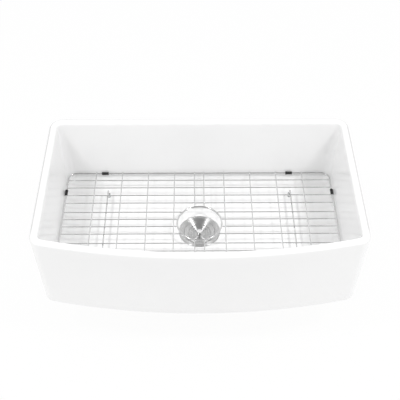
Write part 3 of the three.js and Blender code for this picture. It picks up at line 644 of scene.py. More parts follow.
def outline(half_width, back, front, bow, back_corner, front_corner):
    """Anticlockwise points of the plan, from the middle of the back left corner's start."""
    back_x = half_width - back_corner
    front_x = half_width - front_corner
    bow_centre = front + bow
    front_y = bow_centre - math.sqrt((bow - front_corner) ** 2 - front_x ** 2)
    lean = math.asin(front_x / (bow - front_corner))
    down = 3 * QUARTER
    back_y = back - back_corner
    left_back = arc(-back_x, back_y, back_corner, QUARTER, 2 * QUARTER, CORNER_STEPS)
    left_front = arc(-front_x, front_y, front_corner, 2 * QUARTER, down - lean, CORNER_STEPS)
    bowed = arc(0, bow_centre, bow, down - lean, down + lean, BOW_STEPS)[1:-1]
    right_front = arc(front_x, front_y, front_corner, down + lean, 4 * QUARTER, CORNER_STEPS)
    right_back = arc(back_x, back_y, back_corner, 0, QUARTER, CORNER_STEPS)
    return [
        *left_back, *straight(left_back[-1], left_front[0], SIDE_STEPS), *left_front, *bowed, *right_front,
        *straight(right_front[-1], right_back[0], SIDE_STEPS), *right_back,
        *straight(right_back[-1], left_back[0], BACK_STEPS)]


def inset(plan, distance):
    """The numbers for an outline that runs inside another one, at a distance."""
    half_width, back, front, bow, back_corner, front_corner = plan
    return (half_width - distance, back - distance, front + distance, bow - distance,
            back_corner - distance, front_corner - distance)


print("points in an outline", len(outline(0.4, 0.07, -0.4, 1.8, 0.03, 0.03)))

# %% [markdown]
# ## The bowl
# The bowl is one fired piece. Its outside leans in a little from rim to foot, because clay has to leave its
# mould, and its basin tapers too, with corners that open from tight at the rim to generous at the floor. The
# overall size is read from the model, and the walls, tapers and roundings are the potter's own numbers.

# %% Measures of the bowl
bowl_low, bowl_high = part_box("sink_bowl")
HEIGHT = bowl_high.z
SIDE_TAPER = 5.6 * MM
APRON_LEAN = 15.5 * MM
BOW_RADIUS = 1820 * MM
BACK_CORNER = 36 * MM
FRONT_CORNER = 31 * MM
FOOT_ROUND = 5 * MM
RIM_WALL = 20 * MM
RIM_ROUND_OUTSIDE = 7 * MM
RIM_ROUND_INSIDE = 8 * MM
FLOOR_THICKNESS = 28 * MM
FLOOR_SLOPE = 0.012
FLOOR_FILLET = 28 * MM
BASIN_CORNER_AT_RIM = 15 * MM
BASIN_CORNER_AT_FLOOR = 32 * MM
BASIN_SIDE_TAPER = 9 * MM
BASIN_BACK_TAPER = 3 * MM
BASIN_FRONT_LEAN = 17 * MM
DRAIN_HOLE = 46 * MM
RECESS_RADIUS = 58.5 * MM
RECESS_DEPTH = 3.2 * MM
PAD_RADIUS = 62 * MM
PAD_DEPTH = 2 * MM
GLAZE_EDGE = 0.8 * MM  # melted glaze rounds every edge at least this much
UNSHADED_FRONT = 45 * MM  # painted shade starts this far behind the front and fades in over as much again
print("bowl, mm", [round(1000 * side) for side in bowl_high - bowl_low])


# %% Plans of the outside and of the basin at a height
def outside_plan(z):
    drop = (HEIGHT - z) / HEIGHT
    return (bowl_high.x - SIDE_TAPER * drop, bowl_high.y, bowl_low.y + APRON_LEAN * drop, BOW_RADIUS,
            BACK_CORNER, FRONT_CORNER)


def basin_plan(z):
    drop = (HEIGHT - z) / (HEIGHT - FLOOR_THICKNESS)
    corner = BASIN_CORNER_AT_RIM + (BASIN_CORNER_AT_FLOOR - BASIN_CORNER_AT_RIM) * drop
    half_width = bowl_high.x - RIM_WALL - BASIN_SIDE_TAPER * drop
    back = bowl_high.y - RIM_WALL - BASIN_BACK_TAPER * drop
    front = bowl_low.y + RIM_WALL + BASIN_FRONT_LEAN * drop
    return half_width, back, front, BOW_RADIUS - RIM_WALL, corner, corner


def floor_height(x, y):
    """The basin's floor rises with the distance from the drain."""
    return FLOOR_THICKNESS + FLOOR_SLOPE * (math.hypot(x, y - DRAIN_AXIS.y) - RECESS_RADIUS)


print("basin at the rim, mm", round(2000 * basin_plan(HEIGHT)[0]))

# %% [markdown]
# The mesh is a stack of rings that runs all the way round the wall: from the hole in the underside out to the
# foot, up the outside, over the rim, down into the basin and back to the drain hole. Each ring has the same
# number of points, so neighbours join with plain quads, and the last ring joins the first.

# %% Tools for rings
WALL_STEPS = 12
ARC_STEPS = 8
FLAT_STEPS = 10


def level_ring(plan, z):
    return [Vector((x, y, z)) for x, y in outline(*plan)]


def drain_ring(pattern, radius, z):
    """A circle round the drain with a point in line with each point of the pattern."""
    centre = Vector((DRAIN_AXIS.x, DRAIN_AXIS.y))
    spokes = [(point.xy - centre).normalized() * radius + centre for point in pattern]
    return [Vector((spoke.x, spoke.y, z)) for spoke in spokes]


def between(first, second, steps):
    """Rings that lead from one ring to another, without those two."""
    return [[a.lerp(b, i / steps) for a, b in zip(first, second)] for i in range(1, steps)]


def wall(plan_at, low, high, steps):
    """Rings up a wall, without its two ends."""
    heights = [low + (high - low) * i / steps for i in range(1, steps)]
    return [level_ring(plan_at(z), z) for z in heights]


print("rings up a wall", WALL_STEPS - 1)

# %% Rings in the curves
turns = [QUARTER * i / ARC_STEPS for i in range(ARC_STEPS + 1)]
foot = []
for angle in turns:
    z = FOOT_ROUND * (1 - math.cos(angle))
    foot.append(level_ring(inset(outside_plan(z), FOOT_ROUND * (1 - math.sin(angle))), z))
rim_out = []
for angle in turns:
    z = HEIGHT - RIM_ROUND_OUTSIDE * (1 - math.sin(angle))
    rim_out.append(level_ring(inset(outside_plan(z), RIM_ROUND_OUTSIDE * (1 - math.cos(angle))), z))
rim_in = []
for angle in reversed(turns):
    z = HEIGHT - RIM_ROUND_INSIDE * (1 - math.sin(angle))
    rim_in.append(level_ring(inset(basin_plan(z), -RIM_ROUND_INSIDE * (1 - math.cos(angle))), z))
fillet = []
fillet_plan = basin_plan(FLOOR_THICKNESS + FLOOR_FILLET)
for angle in turns:
    rise = FLOOR_FILLET * (1 - math.sin(angle))
    plan = inset(fillet_plan, FLOOR_FILLET * (1 - math.cos(angle)))
    fillet.append([Vector((x, y, floor_height(x, y) + rise)) for x, y in outline(*plan)])
print("rings in the curves", len(foot) + len(rim_out) + len(rim_in) + len(fillet))

# %% Build the bowl
outside_wall = wall(outside_plan, FOOT_ROUND, HEIGHT - RIM_ROUND_OUTSIDE, WALL_STEPS)
basin_wall = between(rim_in[-1], fillet[0], WALL_STEPS)
recess_z = FLOOR_THICKNESS - RECESS_DEPTH
hole_profile = rounded([
    (RECESS_RADIUS + 4 * GLAZE_EDGE, FLOOR_THICKNESS),
    (RECESS_RADIUS, FLOOR_THICKNESS, GLAZE_EDGE),
    (RECESS_RADIUS, recess_z, GLAZE_EDGE),
    (DRAIN_HOLE, recess_z, GLAZE_EDGE),
    (DRAIN_HOLE, PAD_DEPTH, GLAZE_EDGE / 2),
    (PAD_RADIUS, PAD_DEPTH, GLAZE_EDGE / 2),
    (PAD_RADIUS, 0, GLAZE_EDGE / 2),
    (PAD_RADIUS + 4 * GLAZE_EDGE, 0)])
hole = [drain_ring(fillet[-1], radius, z) for radius, z in hole_profile]
bowl_rings = [
    *foot, *outside_wall, *rim_out, *rim_in, *basin_wall, *fillet, *between(fillet[-1], hole[0], FLAT_STEPS),
    *hole, *between(hole[-1], foot[0], FLAT_STEPS)]
ring_size = len(bowl_rings[0])
bowl_points = [point for ring in bowl_rings for point in ring]
bowl_faces = []
for i in range(len(bowl_rings)):
    bowl_faces += ring_faces(i * ring_size, (i + 1) % len(bowl_rings) * ring_size, ring_size)
bowl = make_piece("fireclay_bowl", bowl_points, bowl_faces, "sink_bowl", glaze)
print("rings of the bowl", len(bowl_rings), "with points each", ring_size)

# %% [markdown]
# Two things are left to say about the bowl's skin. Painted shade goes on the outer rounding of the rim alone:
# the value stored there rises from nothing at both ends of the rounding to its most halfway round, and fades
# out towards the front, so the apron's edge stays white. And the underside, with the counterbore in it, is
# bare.

# %% Paint shade on the rim's outer rounding
rim_shade_layer = bowl.data.attributes.new(PAINTED_RIM_SHADE, "FLOAT", "POINT")
first_rim_point = (len(foot) + len(outside_wall)) * ring_size
for i, angle in enumerate(turns):
    for j, point in enumerate(rim_out[i]):
        shade_fade_in = min(1, max(0, (point.y - bowl_low.y) / UNSHADED_FRONT - 1))
        rim_shade_depth = shade_fade_in * math.sqrt(abs(math.sin(2 * angle)))
        rim_shade_layer.data[first_rim_point + i * ring_size + j].value = rim_shade_depth
print("the thin line fades between, mm from the front", round(1000 * UNSHADED_FRONT), round(2000 * UNSHADED_FRONT))

# %% Bare the ground underside
FACES_DOWN = -0.9  # a face whose normal is below this was ground flat, at the underside or in its counterbore

bowl.data.materials.append(bare_clay)
ground_faces = [face for face in bowl.data.polygons
                if face.normal.z < FACES_DOWN and face.center.z < PAD_DEPTH + GLAZE_EDGE / 2]
for face in ground_faces:
    face.material_index = 1
print("bowl faces", len(bowl.data.polygons), "of which bare", len(ground_faces))

# %% [markdown]
# ## Wires
# A grid's wires differ only in where they run and how thick they are, and the model knows both: a straight
# wire's box gives its two ends and its radius. The section is swept along the line, and its ends are rounded
# over 0.6 mm, because tumbling rounds the cut ends of real wire.

# %% Sweep a round section along a line
WIRE_SIDES = 20
END_ROUND = 0.6 * MM


def rounded_end(tip, inward, radius):
    """Stations along a wire's rounded end, from the tip inwards: a point and the radius there."""
    angles = [QUARTER * i / ROUND_STEPS for i in range(ROUND_STEPS + 1)]
    return [(tip + inward * END_ROUND * (1 - math.cos(a)), radius - END_ROUND * (1 - math.sin(a)))
            for a in angles]


def swept(name, path, normal, radius, node, loop=False):
    """A wire along points that lie in one plane, whose normal is given."""
    stations = [(point, radius) for point in path]
    if not loop:
        start = rounded_end(path[0], (path[1] - path[0]).normalized(), radius)
        end = rounded_end(path[-1], (path[-2] - path[-1]).normalized(), radius)
        stations = [*start, *stations[1:-1], *reversed(end)]
    count = len(stations)
    points = []
    lengths = []
    for i, (point, reach) in enumerate(stations):
        before = stations[i - 1][0] if i or loop else point
        after = stations[(i + 1) % count][0] if i < count - 1 or loop else point
        across = normal.cross(after - before).normalized()
        lengths.append(lengths[-1] + (point - before).length if lengths else 0.0)
        for side in range(WIRE_SIDES):
            angle = 2 * math.pi * side / WIRE_SIDES
            points.append(point + across * reach * math.cos(angle) + normal * reach * math.sin(angle))
    faces = []
    for i in range(count if loop else count - 1):
        faces += ring_faces(i * WIRE_SIDES, (i + 1) % count * WIRE_SIDES, WIRE_SIDES)
    if not loop:
        faces.append(tuple(range(WIRE_SIDES)))
        faces.append(tuple(range(len(points) - WIRE_SIDES, len(points))))
    piece = make_piece(name, points, faces, node, wire_steel)
    layer = piece.data.uv_layers.new(name=WIRE_UV)
    for corner, loop_corner in enumerate(piece.data.loops):
        station, side = divmod(loop_corner.vertex_index, WIRE_SIDES)
        layer.data[corner].uv = (2 * math.pi * radius * side / WIRE_SIDES, lengths[station])
    return piece


print("wire sides", WIRE_SIDES)

# %% Straight wires: columns front to back, rows left to right
UP = Vector((0, 0, 1))
LONG_PIECE = 12  # a long straight wire is divided this often


def straight_wire(node, axis):
    """A wire along x (axis 0) or y (axis 1), as long and as thick as the working model's."""
    low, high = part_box(node)
    radius = (high.z - low.z) / 2
    start = (low + high) / 2
    end = start.copy()
    start[axis] = low[axis]
    end[axis] = high[axis]
    path = [start.lerp(end, i / LONG_PIECE) for i in range(LONG_PIECE + 1)]
    return swept(node.replace("grid_", "wire_"), path, UP, radius, node)


columns = [name for name in frame["nodes"] if name.startswith("grid_column")]
rows = [name for name in frame["nodes"] if name.startswith("grid_row")]
for name in columns:
    straight_wire(name, 1)
for name in rows:
    straight_wire(name, 0)
print("columns", len(columns), "rows", len(rows))

# %% The rail and the ring
BUMPER_TO_WALL = 1 * MM
RING_STEPS = 120

rail_z = middle("grid_rail").z
rail_radius = half_size("grid_rail").z
bumper_radius = half_size("grid_bumper_back_left").z
rail_plan = inset(basin_plan(rail_z), bumper_radius + BUMPER_TO_WALL)
swept("wire_rail", level_ring(rail_plan, rail_z), UP, rail_radius, "grid_rail", loop=True)

ring_middle = middle("grid_ring")
ring_wire = half_size("grid_ring").z
ring_radius = half_size("grid_ring").x - ring_wire
circle = arc(ring_middle.x, ring_middle.y, ring_radius, 0, 2 * math.pi, RING_STEPS)[:-1]
swept("wire_ring", [Vector((x, y, ring_middle.z)) for x, y in circle], UP, ring_wire, "grid_ring", loop=True)
print("ring, mm across its middle", round(2000 * ring_radius, 1))

# %% The two leg wires
LEG_BEND = 7 * MM
LEG_STEPS = 24
LEG_BEND_STEPS = 8


def leg_wire(side):
    """A wire bent down at both ends. Returns the x it runs at, and the y of its front and back ends."""
    node = f"grid_leg_{side}"
    low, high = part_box(node)
    radius = (high.x - low.x) / 2
    x = (low.x + high.x) / 2
    back = high.y - radius
    front = low.y + radius
    bend_z = high.z - radius - LEG_BEND
    back_bend = arc(back - LEG_BEND, bend_z, LEG_BEND, 0, QUARTER, LEG_BEND_STEPS)
    front_bend = arc(front + LEG_BEND, bend_z, LEG_BEND, QUARTER, 2 * QUARTER, LEG_BEND_STEPS)
    run = [(back, low.z), *back_bend, *straight(back_bend[-1], front_bend[0], LEG_STEPS), *front_bend,
           (front, low.z)]
    swept(f"wire_leg_{side}", [Vector((x, y, z)) for y, z in run], Vector((1, 0, 0)), radius, node)
    return x, front, back


legs = [leg_wire(side) for side in ("left", "right")]
print("legs at, mm", [round(1000 * leg[0]) for leg in legs])

# %% [markdown]
# ## Welds
# A grid is resistance-welded: two electrodes squeeze each crossing, and the wires sink into each other a
# little. What shows is a small bright collar of metal at every crossing. It is one mesh of flattened beads,
# each set where two wires of the model cross, and it also ties the ends of the rows and columns to the rail
# and the ring.

# %% Weld beads at every crossing
BEAD_RADIUS = 1.7 * MM
END_BEAD_RADIUS = 2 * MM
BEAD_HEIGHT = 0.9 * MM
BEAD_SPLITS = 2  # how often the faces of the round bead are divided
COLUMN_OVERHANG = 2 * MM  # a column's end runs this far past the middle of the rail

beads = bmesh.new()


def weld(x, y, z, reach=BEAD_RADIUS):
    """Adds a flattened bead to the others."""
    shape = Matrix.Translation((x, y, z)) @ Matrix.Diagonal((reach, reach, BEAD_HEIGHT, 1))
    bmesh.ops.create_icosphere(beads, subdivisions=BEAD_SPLITS, radius=1, matrix=shape)


column_boxes = [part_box(name) for name in columns]
row_boxes = [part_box(name) for name in rows]
rail_top = rail_z + rail_radius
for column_low, column_high in column_boxes:
    x = (column_low.x + column_high.x) / 2
    for row_low, row_high in row_boxes:
        y = (row_low.y + row_high.y) / 2
        if row_low.x < x < row_high.x and column_low.y < y < column_high.y:
            weld(x, y, (row_high.z + column_low.z) / 2)
    for y, inwards in ((column_low.y, 1), (column_high.y, -1)):
        from_ring = math.hypot(x - ring_middle.x, y - ring_middle.y)
        overhang = 0 if from_ring < ring_radius + ring_wire else COLUMN_OVERHANG
        weld(x, y + inwards * overhang, (rail_top + column_low.z) / 2, END_BEAD_RADIUS)
for row_low, row_high in row_boxes:
    y = (row_low.y + row_high.y) / 2
    for x, front, back in legs:
        if row_low.x < x < row_high.x and front < y < back - LEG_BEND / 2:
            weld(x, y, row_low.z)
    for x in (row_low.x, row_high.x):
        weld(x, y, (row_low.z + row_high.z) / 2)
print("points of all beads", len(beads.verts))

# %% Join the beads into one piece
bead_mesh = bpy.data.meshes.new("weld_beads")
beads.to_mesh(bead_mesh)
beads.free()
bead_mesh.shade_smooth()
bead_mesh.materials.append(wire_steel)
bead_mesh.uv_layers.new(name=WIRE_UV)
weld_beads = into_scene("weld_beads", bead_mesh)
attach(weld_beads, "grid")
print("faces of all beads", len(bead_mesh.polygons))

# %% [markdown]
# ## Soft feet and bumpers
# A vinyl cap is dipped or pushed over each leg's end, and black rubber sleeves are clipped on the rail where
# it could touch the glaze. A clip-on sleeve is slit along its length, so its section is a thick letter C.

# %% Vinyl feet
FOOT_SOLE = 3 * MM
FOOT_ROUND_BOTTOM = 2 * MM
FOOT_LIP = 0.7 * MM
FOOT_PLAY = 0.1 * MM  # the foot's socket is this much clear of the wire
FOOT_SIDES = 48

for side in ("left", "right"):
    for end in ("back", "front"):
        node = f"grid_foot_{side}_{end}"
        low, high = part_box(node)
        reach = (high.x - low.x) / 2
        socket = half_size(f"grid_leg_{side}").x + FOOT_PLAY
        profile = rounded([
            (0, low.z), (reach, low.z, FOOT_ROUND_BOTTOM), (reach, high.z, FOOT_LIP),
            (socket, high.z, FOOT_LIP), (socket, low.z + FOOT_SOLE), (0, low.z + FOOT_SOLE)])
        turned(f"foot_{side}_{end}", profile, node, vinyl, middle(node), FOOT_SIDES)
print("last foot, mm across and high", round(2000 * reach, 1), round(1000 * (high.z - low.z), 1))

# %% Rubber bumpers
SLIT_HALF_ANGLE = math.radians(9)
SLEEVE_STEPS = 32
SLEEVE_EDGE = 0.9 * MM
SLEEVE_CREASE = math.radians(50)
SLEEVE_GRIP = 0.15 * MM  # the sleeve's bore is this much clear of the rail


def sleeve(node, along):
    """A slit sleeve on the rail, which runs in the given direction there."""
    centre = middle(node)
    size = half_size(node)
    reach = size.z
    half_length = max(abs(size.x * along.x), abs(size.y * along.y))
    if along.x * along.y:  # turned with the bow: its box is longer than it is, by a share of its thickness
        half_length = (size.x - reach * abs(along.y)) / abs(along.x)
    bore = rail_radius + SLEEVE_GRIP
    start = SLIT_HALF_ANGLE - QUARTER
    end = 3 * QUARTER - SLIT_HALF_ANGLE
    section = arc(0, 0, reach, start, end, SLEEVE_STEPS) + arc(0, 0, bore, end, start, SLEEVE_STEPS)
    across = UP.cross(along)
    points = []
    for offset in (-half_length, half_length):
        points += [centre + along * offset + across * a + UP * b for a, b in section]
    count = len(section)
    faces = ring_faces(0, count, count)
    half = count // 2
    for first in (0, count):
        faces += [(first + i, first + i + 1, first + count - 2 - i, first + count - 1 - i)
                  for i in range(half - 1)]
    piece = make_piece(node.replace("grid_bumper", "bumper"), points, faces, node, rubber)
    ease_edges(piece, SLEEVE_EDGE, SLEEVE_CREASE)


for side, sign in (("left", -1), ("right", 1)):
    bow_turn = math.asin(abs(middle(f"grid_bumper_front_{side}").x) / rail_plan[3])
    sleeve(f"grid_bumper_back_{side}", Vector((1, 0, 0)))
    sleeve(f"grid_bumper_front_{side}", Vector((math.cos(bow_turn), sign * math.sin(bow_turn), 0)))
    sleeve(f"grid_bumper_{side}", Vector((0, 1, 0)))
print("bumpers, mm across", round(2000 * bumper_radius, 1))

# %% [markdown]
# ## The strainer body
# One disc of sheet is spun into a flange, a dished step, a ledge for the basket and a deep cup. The profile
# is drawn once, with the sheet's thickness, and turned. Every bend has a radius, because sheet never folds
# sharp, and those radii catch the bright lines that the eye reads as metal. A coarse thread for the locknut
# is pressed into the cup's outside, by moving the points of that stretch in and out along a helix.

# %% Measures of the strainer
SHEET = 1.2 * MM
strainer_low, strainer_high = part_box("strainer_body")
FLANGE_RADIUS = half_size("strainer_body").x
FLANGE_TOP = strainer_high.z
FLANGE_FLAT = FLANGE_RADIUS - 7.5 * MM
FLANGE_LIP = 2.9 * MM
MOUTH_RADIUS = 44 * MM
MOUTH_TOP = FLANGE_TOP - 2.2 * MM
LEDGE = MOUTH_TOP - 2.2 * MM
CUP_RADIUS = MOUTH_RADIUS - 2.4 * MM
SEAT = strainer_low.z + SHEET
SEAT_RADIUS = 26.2 * MM
OUTLET_RADIUS = 20.2 * MM
CUP_FOOT = SEAT + 4.5 * MM
CUP_ROUND = 9 * MM
print("strainer flange, mm", round(2000 * FLANGE_RADIUS), "cup depth, mm", round(1000 * (LEDGE - SEAT)))

# %% Press a thread into a wall
THREAD_PITCH = 2.2 * MM
THREAD_DEPTH = 0.25 * MM
STEPS_PER_PITCH = 8
ON_THE_WALL = 0.01 * MM  # a point this near the wall's radius belongs to the wall


def thread_stretch(radius, low, high):
    """Points up a threaded wall, close enough together to be pressed into a helix."""
    steps = round(STEPS_PER_PITCH * (high - low) / THREAD_PITCH)
    return [(radius, low + (high - low) * i / steps) for i in range(steps + 1)]


def press_thread(piece, radius, low, high, axis=DRAIN_AXIS):
    """Moves the points of a wall in and out, so that its ridges climb a pitch in each turn."""
    pressed = 0
    for vertex in piece.data.vertices:
        from_axis = (vertex.co - axis).xy
        if abs(from_axis.length - radius) > ON_THE_WALL or not low < vertex.co.z < high:
            continue
        turns_up = vertex.co.z / THREAD_PITCH - math.atan2(from_axis.y, from_axis.x) / (2 * math.pi)
        groove = THREAD_DEPTH * (0.5 - 0.5 * math.cos(2 * math.pi * turns_up))
        vertex.co.xy -= from_axis.normalized() * groove
        pressed += 1
    piece.data.update()
    return pressed


print("thread pitch, mm", round(1000 * THREAD_PITCH, 1))

# %% Spin the strainer body
THREAD_LENGTH = 24 * MM

cup_outside = CUP_RADIUS + SHEET
thread_top = LEDGE - 2 * SHEET
thread_low = thread_top - THREAD_LENGTH
inner_foot = arc(CUP_RADIUS - CUP_ROUND, CUP_FOOT + CUP_ROUND, CUP_ROUND, 0, -QUARTER, ARC_STEPS)
outer_round = CUP_ROUND + SHEET
outer_foot = arc(
    cup_outside - outer_round, CUP_FOOT - SHEET + outer_round, outer_round, -QUARTER, 0, ARC_STEPS)
strainer_profile = [
    *rounded([
        (FLANGE_RADIUS - SHEET, FLANGE_TOP - FLANGE_LIP),
        (FLANGE_RADIUS, FLANGE_TOP - FLANGE_LIP, SHEET / 3),
        (FLANGE_RADIUS, FLANGE_TOP, SHEET),
        (FLANGE_FLAT, FLANGE_TOP, 2 * SHEET),
        (MOUTH_RADIUS, MOUTH_TOP, 0.8 * SHEET),
        (MOUTH_RADIUS, LEDGE, SHEET / 2),
        (CUP_RADIUS, LEDGE, SHEET / 2),
        inner_foot[0]])[1:],
    *inner_foot[1:],
    (SEAT_RADIUS, SEAT), (OUTLET_RADIUS, SEAT), (OUTLET_RADIUS, SEAT - SHEET), (SEAT_RADIUS, SEAT - SHEET),
    *outer_foot,
    *thread_stretch(cup_outside, thread_low, thread_top),
    *rounded([
        (cup_outside, LEDGE - SHEET),
        (MOUTH_RADIUS + SHEET, LEDGE - SHEET, SHEET),
        (MOUTH_RADIUS + SHEET, MOUTH_TOP - SHEET, SHEET / 2),
        (FLANGE_FLAT, FLANGE_TOP - SHEET, SHEET),
        (FLANGE_RADIUS - SHEET, FLANGE_TOP - SHEET, SHEET / 3),
        (FLANGE_RADIUS - SHEET, FLANGE_TOP - FLANGE_LIP)])]
strainer = turned("strainer", strainer_profile, "strainer_body", spun_steel)
pressed = press_thread(strainer, cup_outside, thread_low, thread_top)
print("thread points pressed", pressed)

# %% [markdown]
# ## The clamping pieces
# Under the sink a rubber gasket, a fibre washer and a big nut squeeze the bowl against the flange. Below the
# cup a threaded brass nipple takes a second nut, which holds the tailpiece up against a nylon washer.

# %% Seals and washers
SOFT_EDGE = 0.4 * MM
GASKET_EDGE = 1.0 * MM
FIBRE_EDGE = 0.2 * MM


def plain_ring(name, node, material, edge=SOFT_EDGE):
    """A ring that keeps the model's outside, height and bore, with its edges eased."""
    low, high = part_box(node)
    outer = (high.x - low.x) / 2
    bore = min((vertex.co - DRAIN_AXIS).xy.length for vertex in frame["nodes"][node].data.vertices)
    profile = rounded([
        (bore, low.z, edge), (outer, low.z, edge), (outer, high.z, edge), (bore, high.z, edge)])
    turned(name, profile, node, material)


plain_ring("seal_under_flange", "flange_seal", rubber)
plain_ring("gasket_under_sink", "sink_gasket", rubber, GASKET_EDGE)
plain_ring("washer_under_gasket", "friction_washer", fibre_board, FIBRE_EDGE)
plain_ring("washer_over_tailpiece", "tailpiece_washer", nylon)
plain_ring("nut_under_stopper", "stopper_nut", turned_brass)
print("gasket, mm across", round(2000 * half_size("sink_gasket").x, 1))

# %% The threaded nipple
nipple_low, nipple_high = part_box("outlet_nipple")
nipple_radius = half_size("outlet_nipple").x
nipple_thread = thread_stretch(nipple_radius, nipple_low.z + SOFT_EDGE, nipple_high.z - SOFT_EDGE)
nipple_profile = [
    (OUTLET_RADIUS, nipple_low.z), (nipple_radius - SOFT_EDGE, nipple_low.z), *nipple_thread,
    (nipple_radius - SOFT_EDGE, nipple_high.z), (OUTLET_RADIUS, nipple_high.z)]
nipple = turned("threaded_nipple", nipple_profile, "outlet_nipple", turned_brass)
pressed = press_thread(nipple, nipple_radius, nipple_low.z + SOFT_EDGE, nipple_high.z - SOFT_EDGE)
print("thread points pressed", pressed)

# %% The tailpiece
PIPE_RADIUS = 19.05 * MM
PIPE_WALL = 1.2 * MM
PIPE_FLANGE = 1.5 * MM
CUT_BORE_EDGE = 0.2 * MM
CUT_TUBE_EDGE = 0.3 * MM
FLARE_BEND = 0.6 * MM  # the tube's end is flared out into its flange
FLARE_EDGE = 0.5 * MM
FLARE_MOUTH = 1.0 * MM

pipe_low, pipe_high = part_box("tailpiece")
pipe_outer = half_size("tailpiece").x
pipe_bore = PIPE_RADIUS - PIPE_WALL
flange_low = pipe_high.z - PIPE_FLANGE
pipe_profile = rounded([
    (pipe_bore, pipe_low.z, CUT_BORE_EDGE), (PIPE_RADIUS, pipe_low.z, CUT_TUBE_EDGE),
    (PIPE_RADIUS, flange_low, FLARE_BEND), (pipe_outer, flange_low, FLARE_EDGE),
    (pipe_outer, pipe_high.z, FLARE_EDGE), (pipe_bore, pipe_high.z, FLARE_MOUTH)])
turned("flanged_tailpiece", pipe_profile, "tailpiece", drawn_tube)
print("tailpiece length, mm", round(1000 * (pipe_high.z - pipe_low.z)))

# %% Nuts with lugs
NUT_EDGE = 0.7 * MM
RIM_STEPS = 8  # facets of the round stretch between two lugs


def lugged_nut(name, node, levels, outer, lugs, width):
    """A nut whose bore is given at each level, as (height, bore), with lugs out to the model's own reach."""
    reach = half_size(node).x - outer
    corner = math.asin(width / 2 / outer)
    tip = math.asin(width / 2 / (outer + reach))
    rim = []
    for lug in range(lugs):
        centre = 2 * math.pi * lug / lugs
        rim += [(centre - corner, outer), (centre - tip, outer + reach), (centre + tip, outer + reach),
                (centre + corner, outer)]
        gap = 2 * math.pi / lugs - 2 * corner
        rim += [(centre + corner + gap * i / RIM_STEPS, outer) for i in range(1, RIM_STEPS)]
    low = levels[0][0]
    high = levels[-1][0]
    rings = [[(angle, radius, height) for angle, radius in rim] for height in (low, high)]
    rings += [[(angle, bore, height) for angle, _ in rim] for height, bore in reversed(levels)]
    points = [(DRAIN_AXIS.x + radius * math.cos(angle), DRAIN_AXIS.y + radius * math.sin(angle), height)
              for ring in rings for angle, radius, height in ring]
    faces = []
    for i in range(len(rings)):
        faces += ring_faces(i * len(rim), (i + 1) % len(rings) * len(rim), len(rim))
    piece = make_piece(name, points, faces, node, cast_nickel)
    ease_edges(piece, NUT_EDGE, SHARP_EDGE)


print("nut edges, mm", 1000 * NUT_EDGE)

# %% The locknut and the coupling nut
CLEARANCE = 0.3 * MM
LOCKNUT_RADIUS = 52 * MM
LOCKNUT_LUGS = 8
LOCKNUT_LUG_WIDTH = 9 * MM
COUPLING_SHOULDER = 3 * MM
COUPLING_WALL = 4.2 * MM
COUPLING_LUGS = 6
COUPLING_LUG_WIDTH = 8 * MM

nut_low, nut_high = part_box("locknut")
nut_bore = cup_outside + CLEARANCE
lugged_nut("big_locknut", "locknut", [(nut_low.z, nut_bore), (nut_high.z, nut_bore)],
           LOCKNUT_RADIUS, LOCKNUT_LUGS, LOCKNUT_LUG_WIDTH)

slip_low, slip_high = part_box("coupling_nut")
slip_bore = nipple_radius + CLEARANCE
tube_hole = PIPE_RADIUS + CLEARANCE
shoulder_top = slip_low.z + COUPLING_SHOULDER
coupling_levels = [
    (slip_low.z, tube_hole), (shoulder_top, tube_hole), (shoulder_top, slip_bore), (slip_high.z, slip_bore)]
lugged_nut("coupling", "coupling_nut", coupling_levels,
           slip_bore + COUPLING_WALL, COUPLING_LUGS, COUPLING_LUG_WIDTH)
print("locknut, mm over its lugs", round(2000 * half_size("locknut").x))

# %% [markdown]
# ## The basket
# The basket is a spun dish with three rings of punched holes, on a post with a rubber stopper below. The
# holes are cut by a boolean modifier that is then applied, so the holes are real: light falls through them
# and the sheet's thickness shows. Its knob is a small turned button on the post's top.

# %% Spin the dish
DISH_SHEET = 1.0 * MM
DISH_STEPS = 24
POST_BORE = 4.3 * MM
DISH_DEPTH = 11.6 * MM
DISH_CURVE = 1.8  # power of the radius with which the dish rises
DISH_RIM_WIDTH = 2.6 * MM
DISH_RIM_HEIGHT = 1.6 * MM

dish_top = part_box("basket_dish")[1].z
dish_floor = dish_top - DISH_DEPTH
dish_reach = half_size("basket_dish").x
dish_radius = dish_reach - DISH_RIM_WIDTH
dish_rim_low = dish_top - DISH_RIM_HEIGHT


def dish_height(radius):
    """The height of the dish's upper face at a distance from its axis."""
    share = (radius - POST_BORE) / (dish_radius - POST_BORE)
    return dish_floor + DISH_DEPTH * share ** DISH_CURVE


dish_radii = [POST_BORE + (dish_radius - POST_BORE) * i / DISH_STEPS for i in range(DISH_STEPS + 1)]
dish_profile = [
    *[(radius, dish_height(radius) - DISH_SHEET) for radius in dish_radii[:-1]],
    *rounded([
        (dish_radii[-2], dish_height(dish_radii[-2]) - DISH_SHEET),
        (dish_radius + DISH_SHEET / 2, dish_rim_low, DISH_SHEET / 3),
        (dish_reach, dish_rim_low, DISH_SHEET / 2),
        (dish_reach, dish_top, 0.7 * DISH_SHEET),
        (dish_radius, dish_top)])[1:-1],
    *[(radius, dish_height(radius)) for radius in reversed(dish_radii)]]
dish = turned("basket_bowl", dish_profile, "basket_dish", spun_steel)
print("dish, mm across", round(2000 * dish_reach))

# %% Punch the holes
HOLE_RINGS = 3
HOLE_RADIUS = 1.5 * MM
HOLE_SIDES = 20
FIRST_RING = 17 * MM
RING_PITCH = 7 * MM
FIRST_HOLES = 16
MORE_HOLES = 6

